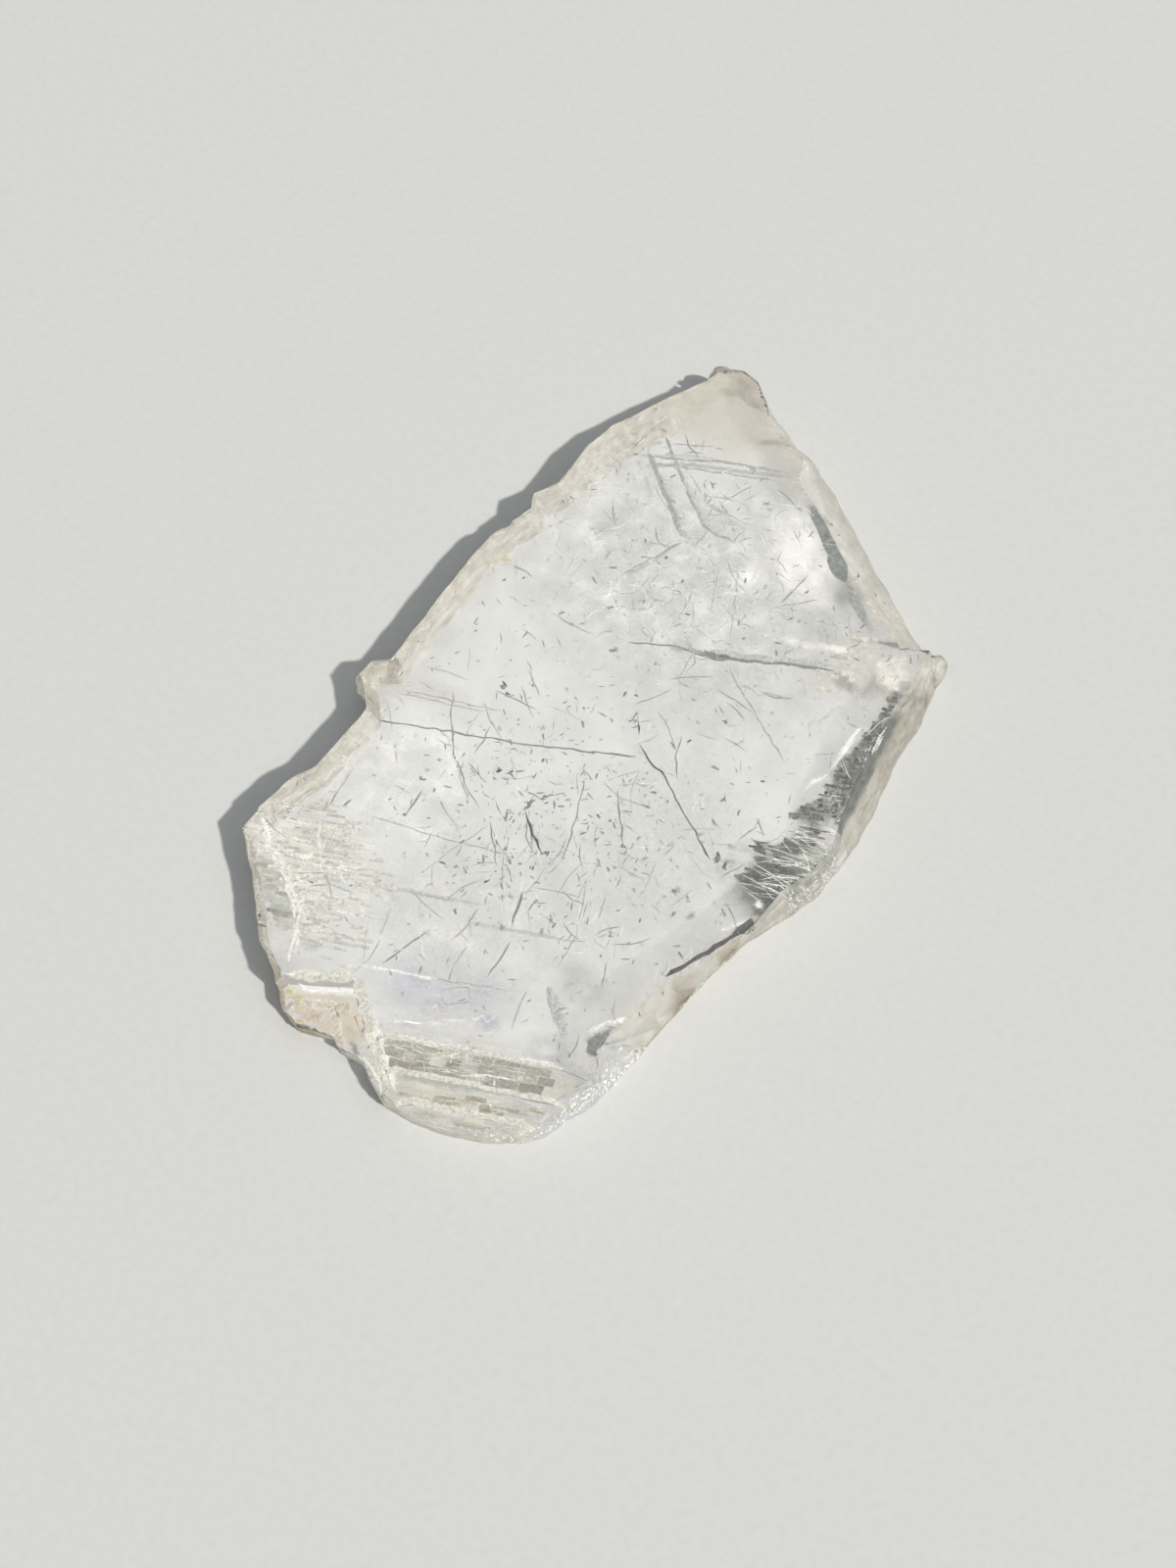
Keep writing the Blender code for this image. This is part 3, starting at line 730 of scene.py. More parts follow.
cleavage_veil, tree = new_material("cleavage_veil", {"Roughness": 0.6})
grain = add_node(tree, "Group", {}, node_tree=cleavage_grain)
kind = read_layer(tree, "cloudy", "Fac")
cleaved = add_node(tree, "Math", {0: grain.outputs["Blocks"], 1: 0.8, 2: grain.outputs["Streaks"]},
                   operation="MULTIPLY_ADD")
texture = add_node(tree, "Mix", {"Factor": kind, "A": add_range(tree, cleaved.outputs[0], 0.0, 1.0, 0.4, 1.3),
                                 "B": add_range(tree, grain.outputs["Clouds"], 0.0, 1.0, 0.36, 0.66)})
smoothness = add_node(tree, "Math", {0: kind, 1: CLOUDY}, operation="SUBTRACT", use_clamp=True)
softened = add_node(tree, "Mix", {"Factor": smoothness.outputs[0], "A": texture.outputs["Result"], "B": 0.6})
grained = softened.outputs["Result"]
coloured = add_node(tree, "VectorMath", {0: read_layer(tree, "tone", "Color"),
                                         "Scale": add_range(tree, grained, 0.76, 1.14)}, operation="SCALE")
film = add_node(tree, "Math", {0: read_layer(tree, "cover", "Fac"), 1: add_range(tree, grained, 0.3, 1.45)},
                operation="MULTIPLY", use_clamp=True)
set_inputs(tree.nodes["Principled BSDF"], {"Base Color": coloured.outputs[0], "Alpha": film.outputs[0],
                                           "Normal": add_dents(tree, grained, 0.6, 0.15 * MM)})
pass_sunlight(tree, ALL_LIGHT)
for veil in veils:
    veil.data.materials.append(cleavage_veil)
    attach(veil, "root")

# ---- Cracks and scratches -----------------------------------------------------------
# Fine cracks along the cleavages and scratches on the top face. Each is a narrow groove
# filled with dust: grey where light misses it, white where it is freshly open. A few wide dark
# grooves are painted shadow instead: under the bevel and along the upper edge of the blade.
CRACK_DEPTH = 0.1 * MM
CRACK_COVER = 0.04 * MM
CRACK_PIECE = 1.1              # millimetres between the small turns of a crack
CRACK_WANDER = 0.16
CRACK_HALVES = (0.35, 0.65)    # half widths, as shares of the whole
CRACK_TIP = 0.12

# The shades of the dust in the cracks, and of the lips of the upper sheet. SHADE and the
# faint grey after it also paint shadow in the wide grooves under the bevel.
DARK = (0.14, 0.14, 0.14)
MID = (0.31, 0.31, 0.31)
FAINT = (0.50, 0.50, 0.49)
SOFT = (0.62, 0.63, 0.62)
PALE = (0.97, 0.96, 0.93)
BROWN = (0.34, 0.22, 0.15)
SHADE = (0.30, 0.32, 0.30)
FAINT_SHADOW = (0.43, 0.45, 0.42)
LIP_CREAM = (0.82, 0.80, 0.72)
LIP_TAN = (0.75, 0.69, 0.58)

# Width in millimetres, colour, and line of each long crack.
CRACKS = (
    (0.24, MID, ((-26.4, -19.8), (-7.8, -9.6), (4.0, -2.2))),
    (0.16, FAINT, ((-26.4, -14.3), (-14.3, -8.4))),
    (0.16, FAINT, ((-27.0, -15.2), (-16.0, -9.9))),
    (0.22, DARK, ((3.3, -0.5), (5.7, -1.6), (8.0, -1.8), (13.8, -4.4), (20.5, -7.5))),
    (0.2, MID, ((5.0, -7.4), (10.4, -13.0))),
    (0.16, MID, ((0.7, -9.1), (3.4, -14.3), (5.7, -19.9))),
    (0.28, DARK, ((-2.5, -17.4), (0.4, -19.4), (3.0, -20.6))),
    (0.18, MID, ((-3.0, -14.9), (-2.5, -17.4))),
    (0.22, MID, ((-8.0, -14.3), (-6.3, -14.9))),
    (0.2, MID, ((-15.0, -23.7), (-14.3, -28.0))),
    (0.22, DARK, ((1.0, 2.0), (2.3, 0.6))),
    (0.16, MID, ((-21.2, -10.3), (-18.4, -14.0), (-15.0, -17.2), (-11.0, -19.6), (-7.5, -20.9))),
    (0.24, FAINT, ((-15.6, -1.3), (-11.6, -3.5))),
    (0.24, FAINT, ((-14.5, -3.8), (-10.3, -6.4))),
    (0.14, FAINT, ((-17.6, -30.6), (-9.0, -27.4), (1.0, -23.0))),
    (0.14, FAINT, ((10.0, -20.0), (13.4, -26.6), (14.2, -31.0))),
    (0.2, FAINT, ((5.8, 16.1), (10.5, 13.7), (15.1, 11.7), (19.8, 9.6))),
    (0.14, FAINT, ((-2.9, 29.8), (-1.5, 27.1), (0.9, 23.7), (3.2, 19.8))),
    (0.22, MID, ((-3.3, -44.6), (-2.8, -42.4), (-2.4, -40.0), (-1.7, -37.9))),
    (0.14, FAINT, ((3.2, -41.9), (11.5, -37.3))),
    (0.14, FAINT, ((-26.8, -44.2), (-23.6, -42.3), (-20.0, -40.5))),
    (0.14, PALE, ((-18.3, -39.9), (-14.3, -37.8))),
    (0.4, PALE, ((-5.5, -46.6), (-1.2, -44.2), (3.2, -41.9))),
    (0.16, PALE, ((1.8, -50.0), (4.9, -47.8), (8.5, -44.5), (10.4, -43.5))),
    (0.26, PALE, ((2.9, -51.2), (8.6, -48.3), (14.1, -45.4), (21.9, -40.7))),
    (0.22, PALE, ((13.2, -49.3), (16.1, -46.9), (18.7, -45.5))),
    (0.2, PALE, ((11.1, -47.2), (11.5, -48.8))),
    (0.2, PALE, ((12.3, -46.6), (13.1, -47.5))),
    (0.2, PALE, ((8.7, -50.6), (9.9, -51.6))),
    (0.2, PALE, ((16.9, -46.6), (18.2, -48.0))),
    (0.16, BROWN, ((-4.2, -49.3), (-2.1, -50.9), (0.3, -51.9), (3.0, -53.4))),
    (0.12, BROWN, ((-2.1, -50.9), (-2.4, -51.6), (-0.6, -52.6))),
    (0.24, PALE, ((-12.6, -53.5), (-9.6, -51.6), (-4.9, -48.2))),
    (0.3, PALE, ((-11.0, -53.1), (-7.4, -51.4), (-3.6, -48.8))),
    (0.22, PALE, ((-0.8, -49.4), (2.1, -51.4), (8.4, -55.6))),
    (0.22, PALE, ((1.7, -54.6), (5.6, -55.7), (8.2, -57.8))),
    (0.34, PALE, (
        (-29.0, -39.3), (-25.7, -42.1), (-21.8, -43.7), (-18.2, -45.5), (-14.3, -48.4), (-12.5, -50.7))),
    (0.16, PALE, ((-22.4, -35.4), (-20.5, -37.9), (-17.1, -40.7))),
    (0.75, FAINT, ((-24.2, 36.4), (-20.0, 33.6), (-16.0, 31.2), (-12.1, 28.6))),
    (0.45, FAINT, ((-24.0, 40.1), (-14.7, 34.1), (-10.5, 31.8), (-8.0, 31.6), (-5.6, 32.5))),
    (0.3, FAINT, ((-14.7, 18.2), (-13.1, 22.7), (-11.3, 27.6))),
    (0.3, FAINT, ((-23.5, 36.1), (-15.6, 41.5), (-7.0, 46.2))),
    (0.22, FAINT, ((-22.6, 35.4), (-13.3, 40.7), (-7.1, 44.1))),
    (0.22, FAINT, ((-11.6, 34.7), (-9.4, 35.4), (-7.0, 35.5))),
    (0.22, FAINT, ((-11.7, 36.5), (-10.0, 35.6), (-8.5, 35.3))),
    (0.18, FAINT, ((-13.7, 35.8), (-10.6, 37.4), (-9.1, 41.4))),
    # Painted shadow: these two wide grooves darken the strip under the bevel, the second one less.
    (2.1, SHADE, ((-0.4, 44.0), (2.0, 42.9), (4.0, 41.2), (6.4, 39.7), (8.0, 38.4), (10.2, 37.0))),
    (1.1, FAINT_SHADOW, ((10.5, 36.8), (13.2, 35.3), (16.7, 33.3))),
    (0.26, SHADE, ((-7.4, 10.6), (-1.8, 14.3), (3.2, 15.8))),
    (0.8, SHADE, ((1.5, 16.1), (3.0, 16.0), (4.7, 16.9))),
    (0.4, SHADE, ((3.0, 16.0), (6.2, 17.9), (10.7, 21.0), (17.0, 24.7))),
    (0.7, SOFT, ((2.0, 16.6), (6.0, 18.6), (10.4, 21.7), (16.6, 25.3))),
    # Painted shadow: these two dark grooves darken the upper edge of the blade.
    (1.1, DARK, ((32.0, -6.4), (30.3, -9.6), (28.9, -13.9))),
    (0.6, DARK, ((29.6, -12.0), (27.0, -19.8), (25.6, -23.4))),
    (0.95, SOFT, (
        (14.9, -33.8), (15.3, -34.1), (17.2, -35.3), (18.9, -36.5), (20.3, -37.5), (20.6, -37.7))),
    (0.14, PALE, ((2.3, -49.7), (8.8, -44.8))),
    (0.12, FAINT, ((-7.7, -33.1), (-5.0, -22.1))),
    (0.3, MID, ((6.3, -30.6), (4.3, -26.1))),
    (0.18, MID, ((8.2, -37.7), (7.4, -32.3))),
    (0.12, MID, ((-13.9, -18.0), (-9.4, -20.9))),
    (0.12, MID, ((-12.4, -23.3), (-8.1, -24.7))),
    (0.18, MID, ((-5.1, -21.5), (-0.5, -25.6))),
    (0.24, PALE, ((11.6, -48.8), (11.2, -47.9), (11.8, -46.7))),
    (0.2, PALE, ((12.4, -46.6), (13.2, -47.2))),
    (0.2, PALE, ((13.7, -45.8), (14.6, -46.4))),
    (0.22, PALE, ((9.7, -42.7), (10.5, -42.8), (10.9, -41.8), (12.0, -42.2), (12.1, -40.8))),
    (0.16, FAINT, ((4.5, -42.6), (7.2, -40.1), (8.6, -41.3), (6.5, -43.7), (4.8, -42.8))),
    (0.14, PALE, ((4.3, -45.6), (5.6, -44.6), (6.9, -45.3))),
    (0.4, PALE, ((22.5, -35.0), (23.3, -32.7), (24.6, -31.1))),
    (1.3, SHADE, ((24.0, -37.2), (24.2, -35.2), (24.5, -33.6))),
    (0.3, SHADE, ((24.9, -35.1), (26.4, -32.3))),
    (0.14, PALE, ((26.3, 1.8), (29.5, 3.5))),
    (0.16, PALE, ((29.2, 5.5), (34.5, 7.1))),
    (0.16, PALE, ((29.9, 4.9), (33.8, 6.6))),
    (0.18, PALE, ((27.7, -5.7), (31.5, -3.9))),
    (0.16, PALE, ((27.2, -4.5), (31.6, -2.2))),
    (0.16, PALE, ((27.8, -6.2), (30.0, -5.5))),
    (0.14, PALE, ((28.9, 1.1), (32.2, -1.1))),
    (0.14, PALE, ((26.2, -2.2), (28.2, -2.1))),
    (0.14, PALE, ((25.7, 14.7), (28.1, 13.2))),
    (0.14, PALE, ((25.6, 14.3), (27.3, 13.3))),
    (0.2, DARK, ((22.8, -1.8), (25.4, -2.1))),
    (0.2, MID, ((21.7, 1.0), (24.0, -0.6))),
    (0.16, MID, ((21.7, -3.2), (22.5, 0.0))),
    (0.16, DARK, ((24.5, -6.8), (26.4, -5.8))),
    (0.16, DARK, ((24.6, -7.5), (26.9, -6.4))),
    (0.16, DARK, ((26.2, -7.8), (29.1, -7.0))),
)

# Thin lips of the upper sheet that reach out over the risers: width, colour and line.
LIPS = (
    (1.5, LIP_CREAM, ((-11.6, -53.3), (-8.4, -50.9), (-4.7, -48.2))),
    (1.3, LIP_CREAM, ((-4.7, -48.2), (-2.7, -49.0), (1.4, -52.2), (7.1, -55.6))),
    (0.8, LIP_TAN, ((-10.1, -55.2), (-5.7, -52.2), (-1.1, -55.6), (2.4, -57.6))),
    (0.45, LIP_CREAM, ((1.6, -53.6), (3.1, -51.2), (14.1, -45.4), (23.5, -40.4))),
    (0.7, LIP_CREAM, ((4.7, -56.3), (6.9, -53.6), (16.9, -48.3), (26.0, -43.6))),
    (0.9, LIP_CREAM, ((8.9, -57.6), (10.7, -55.3), (20.7, -50.0), (24.5, -48.0))),
    (0.4, PALE, (
        (-28.9, -39.8), (-24.3, -42.8), (-20.1, -44.2), (-16.3, -46.0), (-14.1, -49.6), (-12.6, -52.0))),
)

SCRATCHES = 420
SCRATCH_TURNS = (FIBRE_TURN, math.radians(-40.0), math.radians(-64.0))
SCRATCH_TWIST = 0.5            # spread of the turns of the scratches round these, in radians
SCRATCH_BEND = 0.25
SCRATCH_REACHES = (0.5, 0.8, 1.2, 2.2)
SCRATCH_STRETCH = (0.7, 1.5)
SCRATCH_WIDTHS = (0.07, 0.17)
SCRATCH_SHADES = (MID, MID, MID, FAINT, FAINT, PALE)
SCRATCH_WANDER = 0.08
CURLS = 170
CURL_CENTRE = (-5.0, 26.0)
CURL_SPREAD = (10.0, 9.0)
CURL_BEND = 0.9
CURL_REACHES = (0.6, 2.0)
CURL_WIDTHS = (0.1, 0.26)
CURL_SHADES = (PALE, SOFT, SOFT, SOFT, FAINT)
CURL_WANDER = 0.2
MARKED_X = (-30.0, 28.0)
MARKED_Y = (-46.0, 44.0)
MARKED_CENTRE = (2.0, -17.0)   # round this place, marks lie as thickly as they can
MARKED_SPREAD = 20.0
MARKED_LEAST = 0.3
MARKED_MOST = 1.35

scatter = random.Random(7)


def top_at(x, y):
    """Height of the crystal's upper side over a place in millimetres, or None past its edge."""
    place, _ = sheet_at(x * MM, y * MM)
    return place.z if place is not None else None


def heading(turn):
    """The direction at an angle from X."""
    return Vector((math.cos(turn), math.sin(turn)))


def new_marks():
    """An empty mesh whose points carry a shade."""
    mesh = bmesh.new()
    mesh.verts.layers.float_color.new("shade")
    return mesh


def add_point(mesh, place, shade):
    """A new point with its shade."""
    point = mesh.verts.new(place)
    point[mesh.verts.layers.float_color["shade"]] = (*shade, 1.0)
    return point


def split_line(line):
    """The corners of a line and places between them where a crack can turn a little."""
    places = []
    for start, end in zip(line, line[1:]):
        first = Vector(start)
        last = Vector(end)
        count = max(1, round((last - first).length / CRACK_PIECE))
        places += [first.lerp(last, step / count) for step in range(count)]
    return places + [Vector(line[-1])]


def add_groove(mesh, line, width, shade, wander, cover=CRACK_COVER, is_lip=False):
    """A closed groove with a three-cornered section that narrows to both its ends, or a
    lip of the same section that keeps to the height of the sheet beside it."""
    places = split_line(line)
    rings = []
    for index, place in enumerate(places):
        ahead = places[min(index + 1, len(places) - 1)] - places[max(index - 1, 0)]
        across = Vector((-ahead.y, ahead.x)).normalized()
        inner = 0 < index < len(places) - 1
        spot = place + across * wander * scatter.uniform(-1.0, 1.0) * inner
        half = width * (scatter.uniform(*CRACK_HALVES) if inner else CRACK_TIP)
        sides = (spot + across * half, spot - across * half, spot)
        heights = [top_at(*side) for side in sides]
        if None in heights:
            continue
        if is_lip:
            heights = [max(heights)] * 3
        heights[2] -= CRACK_DEPTH
        rings.append([add_point(mesh, (*(side * MM), height - cover), shade)
                      for side, height in zip(sides, heights)])
    if len(rings) < 2:
        return
    mesh.faces.new(rings[0])
    mesh.faces.new(reversed(rings[-1]))
    for before, after in zip(rings, rings[1:]):
        for side in range(3):
            following = (side + 1) % 3
            mesh.faces.new((before[side], after[side], after[following], before[following]))


def add_bent_mark(mesh, middle, turn, bend, reach, widths, shades, wander):
    """A short groove to both sides of a place, with a bend there."""
    line = (middle - heading(turn) * reach, middle, middle + heading(turn + bend) * reach)
    add_groove(mesh, line, scatter.uniform(*widths), scatter.choice(shades), wander)


def marked_spot(crowding):
    """A random place, or None more often where marks lie thinly."""
    x = scatter.uniform(*MARKED_X)
    y = scatter.uniform(*MARKED_Y)
    far = math.hypot(x - MARKED_CENTRE[0], y - MARKED_CENTRE[1]) / MARKED_SPREAD
    share = min(1.0, max(MARKED_LEAST, MARKED_MOST - far))
    return (x, y) if scatter.random() <= share ** crowding else None


def curl_spot():
    """A random place in the upper half, where curls are most."""
    x = scatter.gauss(CURL_CENTRE[0], CURL_SPREAD[0])
    y = scatter.gauss(CURL_CENTRE[1], CURL_SPREAD[1])
    return (x, y)


def spots_on_top(count, draw, *settings):
    """So many of the places that a function draws, one by one, all of them on the crystal."""
    while count > 0:
        spot = draw(*settings)
        if spot is not None and top_at(*spot) is not None:
            count -= 1
            yield spot


def finish_piece(name, mesh, material):
    """Makes one piece of a mesh, with outward faces, its material and its place on the body."""
    bmesh.ops.recalc_face_normals(mesh, faces=mesh.faces)
    data = bpy.data.meshes.new(name)
    mesh.to_mesh(data)
    mesh.free()
    piece = bpy.data.objects.new(name, data)
    bpy.context.scene.collection.objects.link(piece)
    data.materials.append(material)
    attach(piece, "root")


dusty_crack, tree = new_material("dusty_crack", {"Roughness": 0.7})
dust = add_range(tree, add_noise(tree, scale=2600.0), 0.7, 1.2, 0.3, 0.7)
dusted = add_node(tree, "VectorMath", {0: read_layer(tree, "shade", "Color"), "Scale": dust},
                  operation="SCALE")
set_inputs(tree.nodes["Principled BSDF"], {"Base Color": dusted.outputs[0]})
pass_sunlight(tree, ALL_LIGHT)

grooves = new_marks()
for width, shade, line in CRACKS:
    add_groove(grooves, line, width, shade, CRACK_WANDER)
for width, shade, line in LIPS:
    add_groove(grooves, line, width, shade, CRACK_WANDER, cover=0.0, is_lip=True)
for spot in spots_on_top(SCRATCHES, marked_spot, 1.0):
    turn = scatter.choice(SCRATCH_TURNS) + scatter.gauss(0.0, SCRATCH_TWIST)
    reach = scatter.choice(SCRATCH_REACHES) * scatter.uniform(*SCRATCH_STRETCH)
    bend = scatter.gauss(0.0, SCRATCH_BEND)
    add_bent_mark(grooves, Vector(spot), turn, bend, reach, SCRATCH_WIDTHS, SCRATCH_SHADES, SCRATCH_WANDER)
for spot in spots_on_top(CURLS, curl_spot):
    turn = scatter.uniform(0.0, math.tau)
    bend = scatter.gauss(0.0, CURL_BEND)
    reach = scatter.uniform(*CURL_REACHES)
    add_bent_mark(grooves, Vector(spot), turn, bend, reach, CURL_WIDTHS, CURL_SHADES, CURL_WANDER)
finish_piece("crystal_cracks", grooves, dusty_crack)

# ---- Flecks -------------------------------------------------------------------------
# Small pits and specks of clay just under the top face, mostly in the middle, with a few
# bigger blots, each of a few specks, at the ends of the cracks.
FLECKS = 1100
FLECK_CROWDING = 1.5           # flecks crowd together this much more than scratches
FLECK_LEAST = 0.14
FLECK_GROWTH = 0.30
FLECK_STRETCH = (1.3, 2.6)
FLECK_SHADES = (MID, MID, FAINT)
FLECK_CORNERS = 7
FLECK_RADII = (0.45, 1.0)      # how far out its corners lie, as shares of its size
FLECK_FOOT = 0.6               # size of the underside of a fleck, as a share of its top
BLOT_PARTS = 4
BLOT_SPREAD = 0.5
BLOT_SIZES = (0.4, 0.9)
BLOT_SHADES = (DARK, MID, MID)

# Place and size of each blot, in millimetres.
BLOTS = (
    ((-2.9, -16.6), 0.55), ((-2.0, -14.2), 0.6), ((3.5, -20.4), 0.6), ((-16.3, -5.2), 0.5),
    ((-14.9, -5.8), 0.45), ((20.9, -6.9), 0.55), ((22.3, -7.1), 0.5), ((-8.2, 8.6), 0.5),
    ((-8.9, -15.0), 0.4), ((10.6, -13.4), 0.4), ((-20.1, -49.7), 0.4), ((-18.9, -50.5), 0.35),
    ((-7.6, -14.5), 0.35), ((-1.9, -14.4), 0.45), ((0.3, -23.9), 0.4), ((1.8, -23.4), 0.35),
    ((3.3, -23.0), 0.3), ((-1.2, -23.0), 0.3), ((-14.4, -27.8), 0.3), ((-3.8, -20.0), 0.3),
    ((-3.2, -28.6), 0.35), ((-0.2, -28.2), 0.3), ((-1.7, -30.9), 0.25), ((-4.5, -28.9), 0.25),
    ((-15.9, -22.5), 0.35), ((2.7, -28.5), 0.3), ((6.6, -26.1), 0.35), ((21.2, -7.0), 0.4),
    ((19.4, -13.6), 0.45), ((21.6, -13.7), 0.4), ((26.3, -12.2), 0.3), ((21.2, -16.3), 0.35),
    ((4.8, 9.2), 0.3), ((8.1, 3.9), 0.3), ((16.8, 0.2), 0.35), ((11.3, -4.6), 0.25), ((0.8, 1.7), 0.3),
    ((-1.5, 5.0), 0.25), ((-2.3, 10.4), 0.3), ((10.3, 9.4), 0.3), ((-12.6, 13.1), 0.45),
)


def close_slab(mesh, upper, lower):
    """The faces of a flat piece between an upper and a lower ring of points."""
    mesh.faces.new(upper)
    mesh.faces.new(reversed(lower))
    for first in range(len(upper)):
        second = (first + 1) % len(upper)
        mesh.faces.new((upper[second], upper[first], lower[first], lower[second]))


def add_fleck(mesh, x, y, size, shade):
    """A flat uneven speck with closed sides, drawn out in a random direction."""
    top = top_at(x, y)
    if top is None:
        return
    turn = scatter.uniform(0.0, math.tau)
    stretch = scatter.uniform(*FLECK_STRETCH)
    upper = []
    lower = []
    for corner in range(FLECK_CORNERS):
        angle = math.tau * corner / FLECK_CORNERS
        radius = size * scatter.uniform(*FLECK_RADII)
        spot = Vector((radius * stretch * math.cos(angle), radius * math.sin(angle) / stretch))
        spot.rotate(Matrix.Rotation(turn, 2))
        for ring, share, depth in ((upper, 1.0, CRACK_COVER), (lower, FLECK_FOOT, CRACK_COVER + CRACK_DEPTH)):
            place = ((x + spot.x * share) * MM, (y + spot.y * share) * MM, top - depth)
            ring.append(add_point(mesh, place, shade))
    close_slab(mesh, upper, lower)


clay_fleck = dusty_crack.copy()
clay_fleck.name = "clay_fleck"
flecks = new_marks()
for (x, y), size in BLOTS:
    for _ in range(BLOT_PARTS):
        part_x = x + scatter.gauss(0.0, BLOT_SPREAD * size)
        part_y = y + scatter.gauss(0.0, BLOT_SPREAD * size)
        part_size = size * scatter.uniform(*BLOT_SIZES)
        add_fleck(flecks, part_x, part_y, part_size, scatter.choice(BLOT_SHADES))
for x, y in spots_on_top(FLECKS, marked_spot, FLECK_CROWDING):
    size = FLECK_LEAST + FLECK_GROWTH * scatter.random() ** 3
    add_fleck(flecks, x, y, size, scatter.choice(FLECK_SHADES))
finish_piece("crystal_flecks", flecks, clay_fleck)

# ---- Fibres -------------------------------------------------------------------------
# Loose white fibres where the edge is crumpled at the right, and short ones that stand
# out of the ledges at the foot, all nearly along the fibrous cleavage.
PROUD = -0.03 * MM             # cover of the fibres of the crumpled edge: they stand out of it
FIBRE_TONE = (0.86, 0.86, 0.81)
FIBRE_WIDTHS = (0.05, 0.12)
FIBRE_LENGTHS = (0.4, 1.2)     # as shares of the half length of the field's fibres
FIBRE_WANDER = 0.05
RAY_WIDTH = 0.11
RAY_WANDER = 0.04

# Fields of short fibres: place, half lengths along X and Y, count, spread of their turns,
# half length of a fibre, and cover.
FIBRE_FIELDS = (
    ((28.6, -1.0), (4.4, 6.6), 90, 0.3, 1.6, CRACK_COVER),
    ((32.6, 0.5), (2.6, 6.0), 150, 0.3, 1.1, PROUD),
    ((32.6, -5.0), (2.2, 3.0), 50, 0.4, 0.8, PROUD),
    ((27.3, 12.0), (1.6, 12.0), 10, 0.8, 0.6, CRACK_COVER),
    ((15.0, -48.5), (15.0, 5.0), 150, 0.12, 1.2, CRACK_COVER),
    ((-20.0, -43.0), (11.0, 8.0), 120, 0.12, 1.2, CRACK_COVER),
    ((3.5, 36.0), (6.0, 5.0), 40, 0.3, 1.0, CRACK_COVER),
)

# Longer fibres, each from end to end.
FIBRE_RAYS = (
    ((26.1, 2.9), (28.9, 4.0)), ((28.0, 4.8), (34.4, 6.8)), ((27.3, 2.7), (33.7, 3.9)),
    ((24.6, -6.6), (30.6, -5.6)), ((24.1, -4.6), (31.2, -3.6)), ((30.0, 4.1), (33.4, 1.3)),
    ((27.4, -1.2), (31.6, -0.2)), ((28.3, -4.4), (32.4, -4.2)), ((32.1, -2.8), (34.5, 0.7)),
    ((31.0, 1.7), (34.0, 5.4)), ((33.1, 2.7), (34.3, 0.5)),
)

fibre_white = dusty_crack.copy()
fibre_white.name = "fibre_white"
fibres = new_marks()
for ray in FIBRE_RAYS:
    add_groove(fibres, ray, RAY_WIDTH, FIBRE_TONE, RAY_WANDER, PROUD)
for (x, y), (half_x, half_y), count, turn_spread, reach, cover in FIBRE_FIELDS:
    for _ in range(count):
        middle = Vector((scatter.gauss(x, half_x / 2.0), scatter.gauss(y, half_y / 2.0)))
        turn = FIBRE_TURN + scatter.gauss(0.0, turn_spread)
        ahead = heading(turn) * reach * scatter.uniform(*FIBRE_LENGTHS)
        width = scatter.uniform(*FIBRE_WIDTHS)
        add_groove(fibres, (middle - ahead, middle + ahead), width, FIBRE_TONE, FIBRE_WANDER, cover)
finish_piece("crystal_fibres", fibres, fibre_white)

# ---- Cleavage blocks ------------------------------------------------------------------
# Where both cleavages have opened, the plate is split into small slanting blocks in rows
# along the fibres, from grey-green to cream, with light between them. The slate blocks in
# the right strip and at the crumpled corner are painted shade.
BLOCK_COVER = 0.16 * MM
BLOCK_DEPTH = 0.08 * MM
BLOCK_STEP = 0.5 * MM          # a block isn't laid across a step higher than this
BLOCK_CORNERS = ((-1, -1), (1, -1), (1, 1), (-1, 1))
BLOCK_SLANT = 0.18             # how far the far side of a block is shifted for its width
BLOCK_TWIST = 0.1
BLOCK_WOBBLE = 0.05
BLOCK_LENGTHS = (0.4, 1.5)     # as shares of the half length of the field's blocks
BLOCK_WIDTHS = (0.7, 1.3)
BLOCK_GAPS = (0.05, 0.2)
ROW_GAPS = (0.04, 0.12)
BLOCK_SHADING = (0.92, 1.08)
POINT_SHADING = (0.9, 1.1)
BLOCK_TONES = {
    "shadow_slate": (
        (0.16, 0.17, 0.15), (0.2, 0.21, 0.19), (0.26, 0.27, 0.24), (0.13, 0.14, 0.13), (0.33, 0.33, 0.29)),
    "grey": (
        (0.37, 0.36, 0.31), (0.43, 0.41, 0.36), (0.5, 0.48, 0.42), (0.57, 0.55, 0.48), (0.43, 0.43, 0.38)),
    "cream": (
        (0.54, 0.52, 0.43), (0.48, 0.46, 0.38), (0.64, 0.61, 0.53), (0.43, 0.41, 0.33),
        (0.55, 0.51, 0.43)),
    "light": (
        (0.74, 0.73, 0.66), (0.78, 0.77, 0.71), (0.68, 0.68, 0.62), (0.82, 0.81, 0.76),
        (0.76, 0.73, 0.67)),
    "tan": ((0.69, 0.62, 0.51), (0.71, 0.65, 0.54), (0.73, 0.67, 0.57), (0.67, 0.6, 0.49)),
    "ochre": ((0.7, 0.6, 0.38), (0.76, 0.67, 0.46), (0.66, 0.55, 0.32), (0.8, 0.74, 0.58)),
}

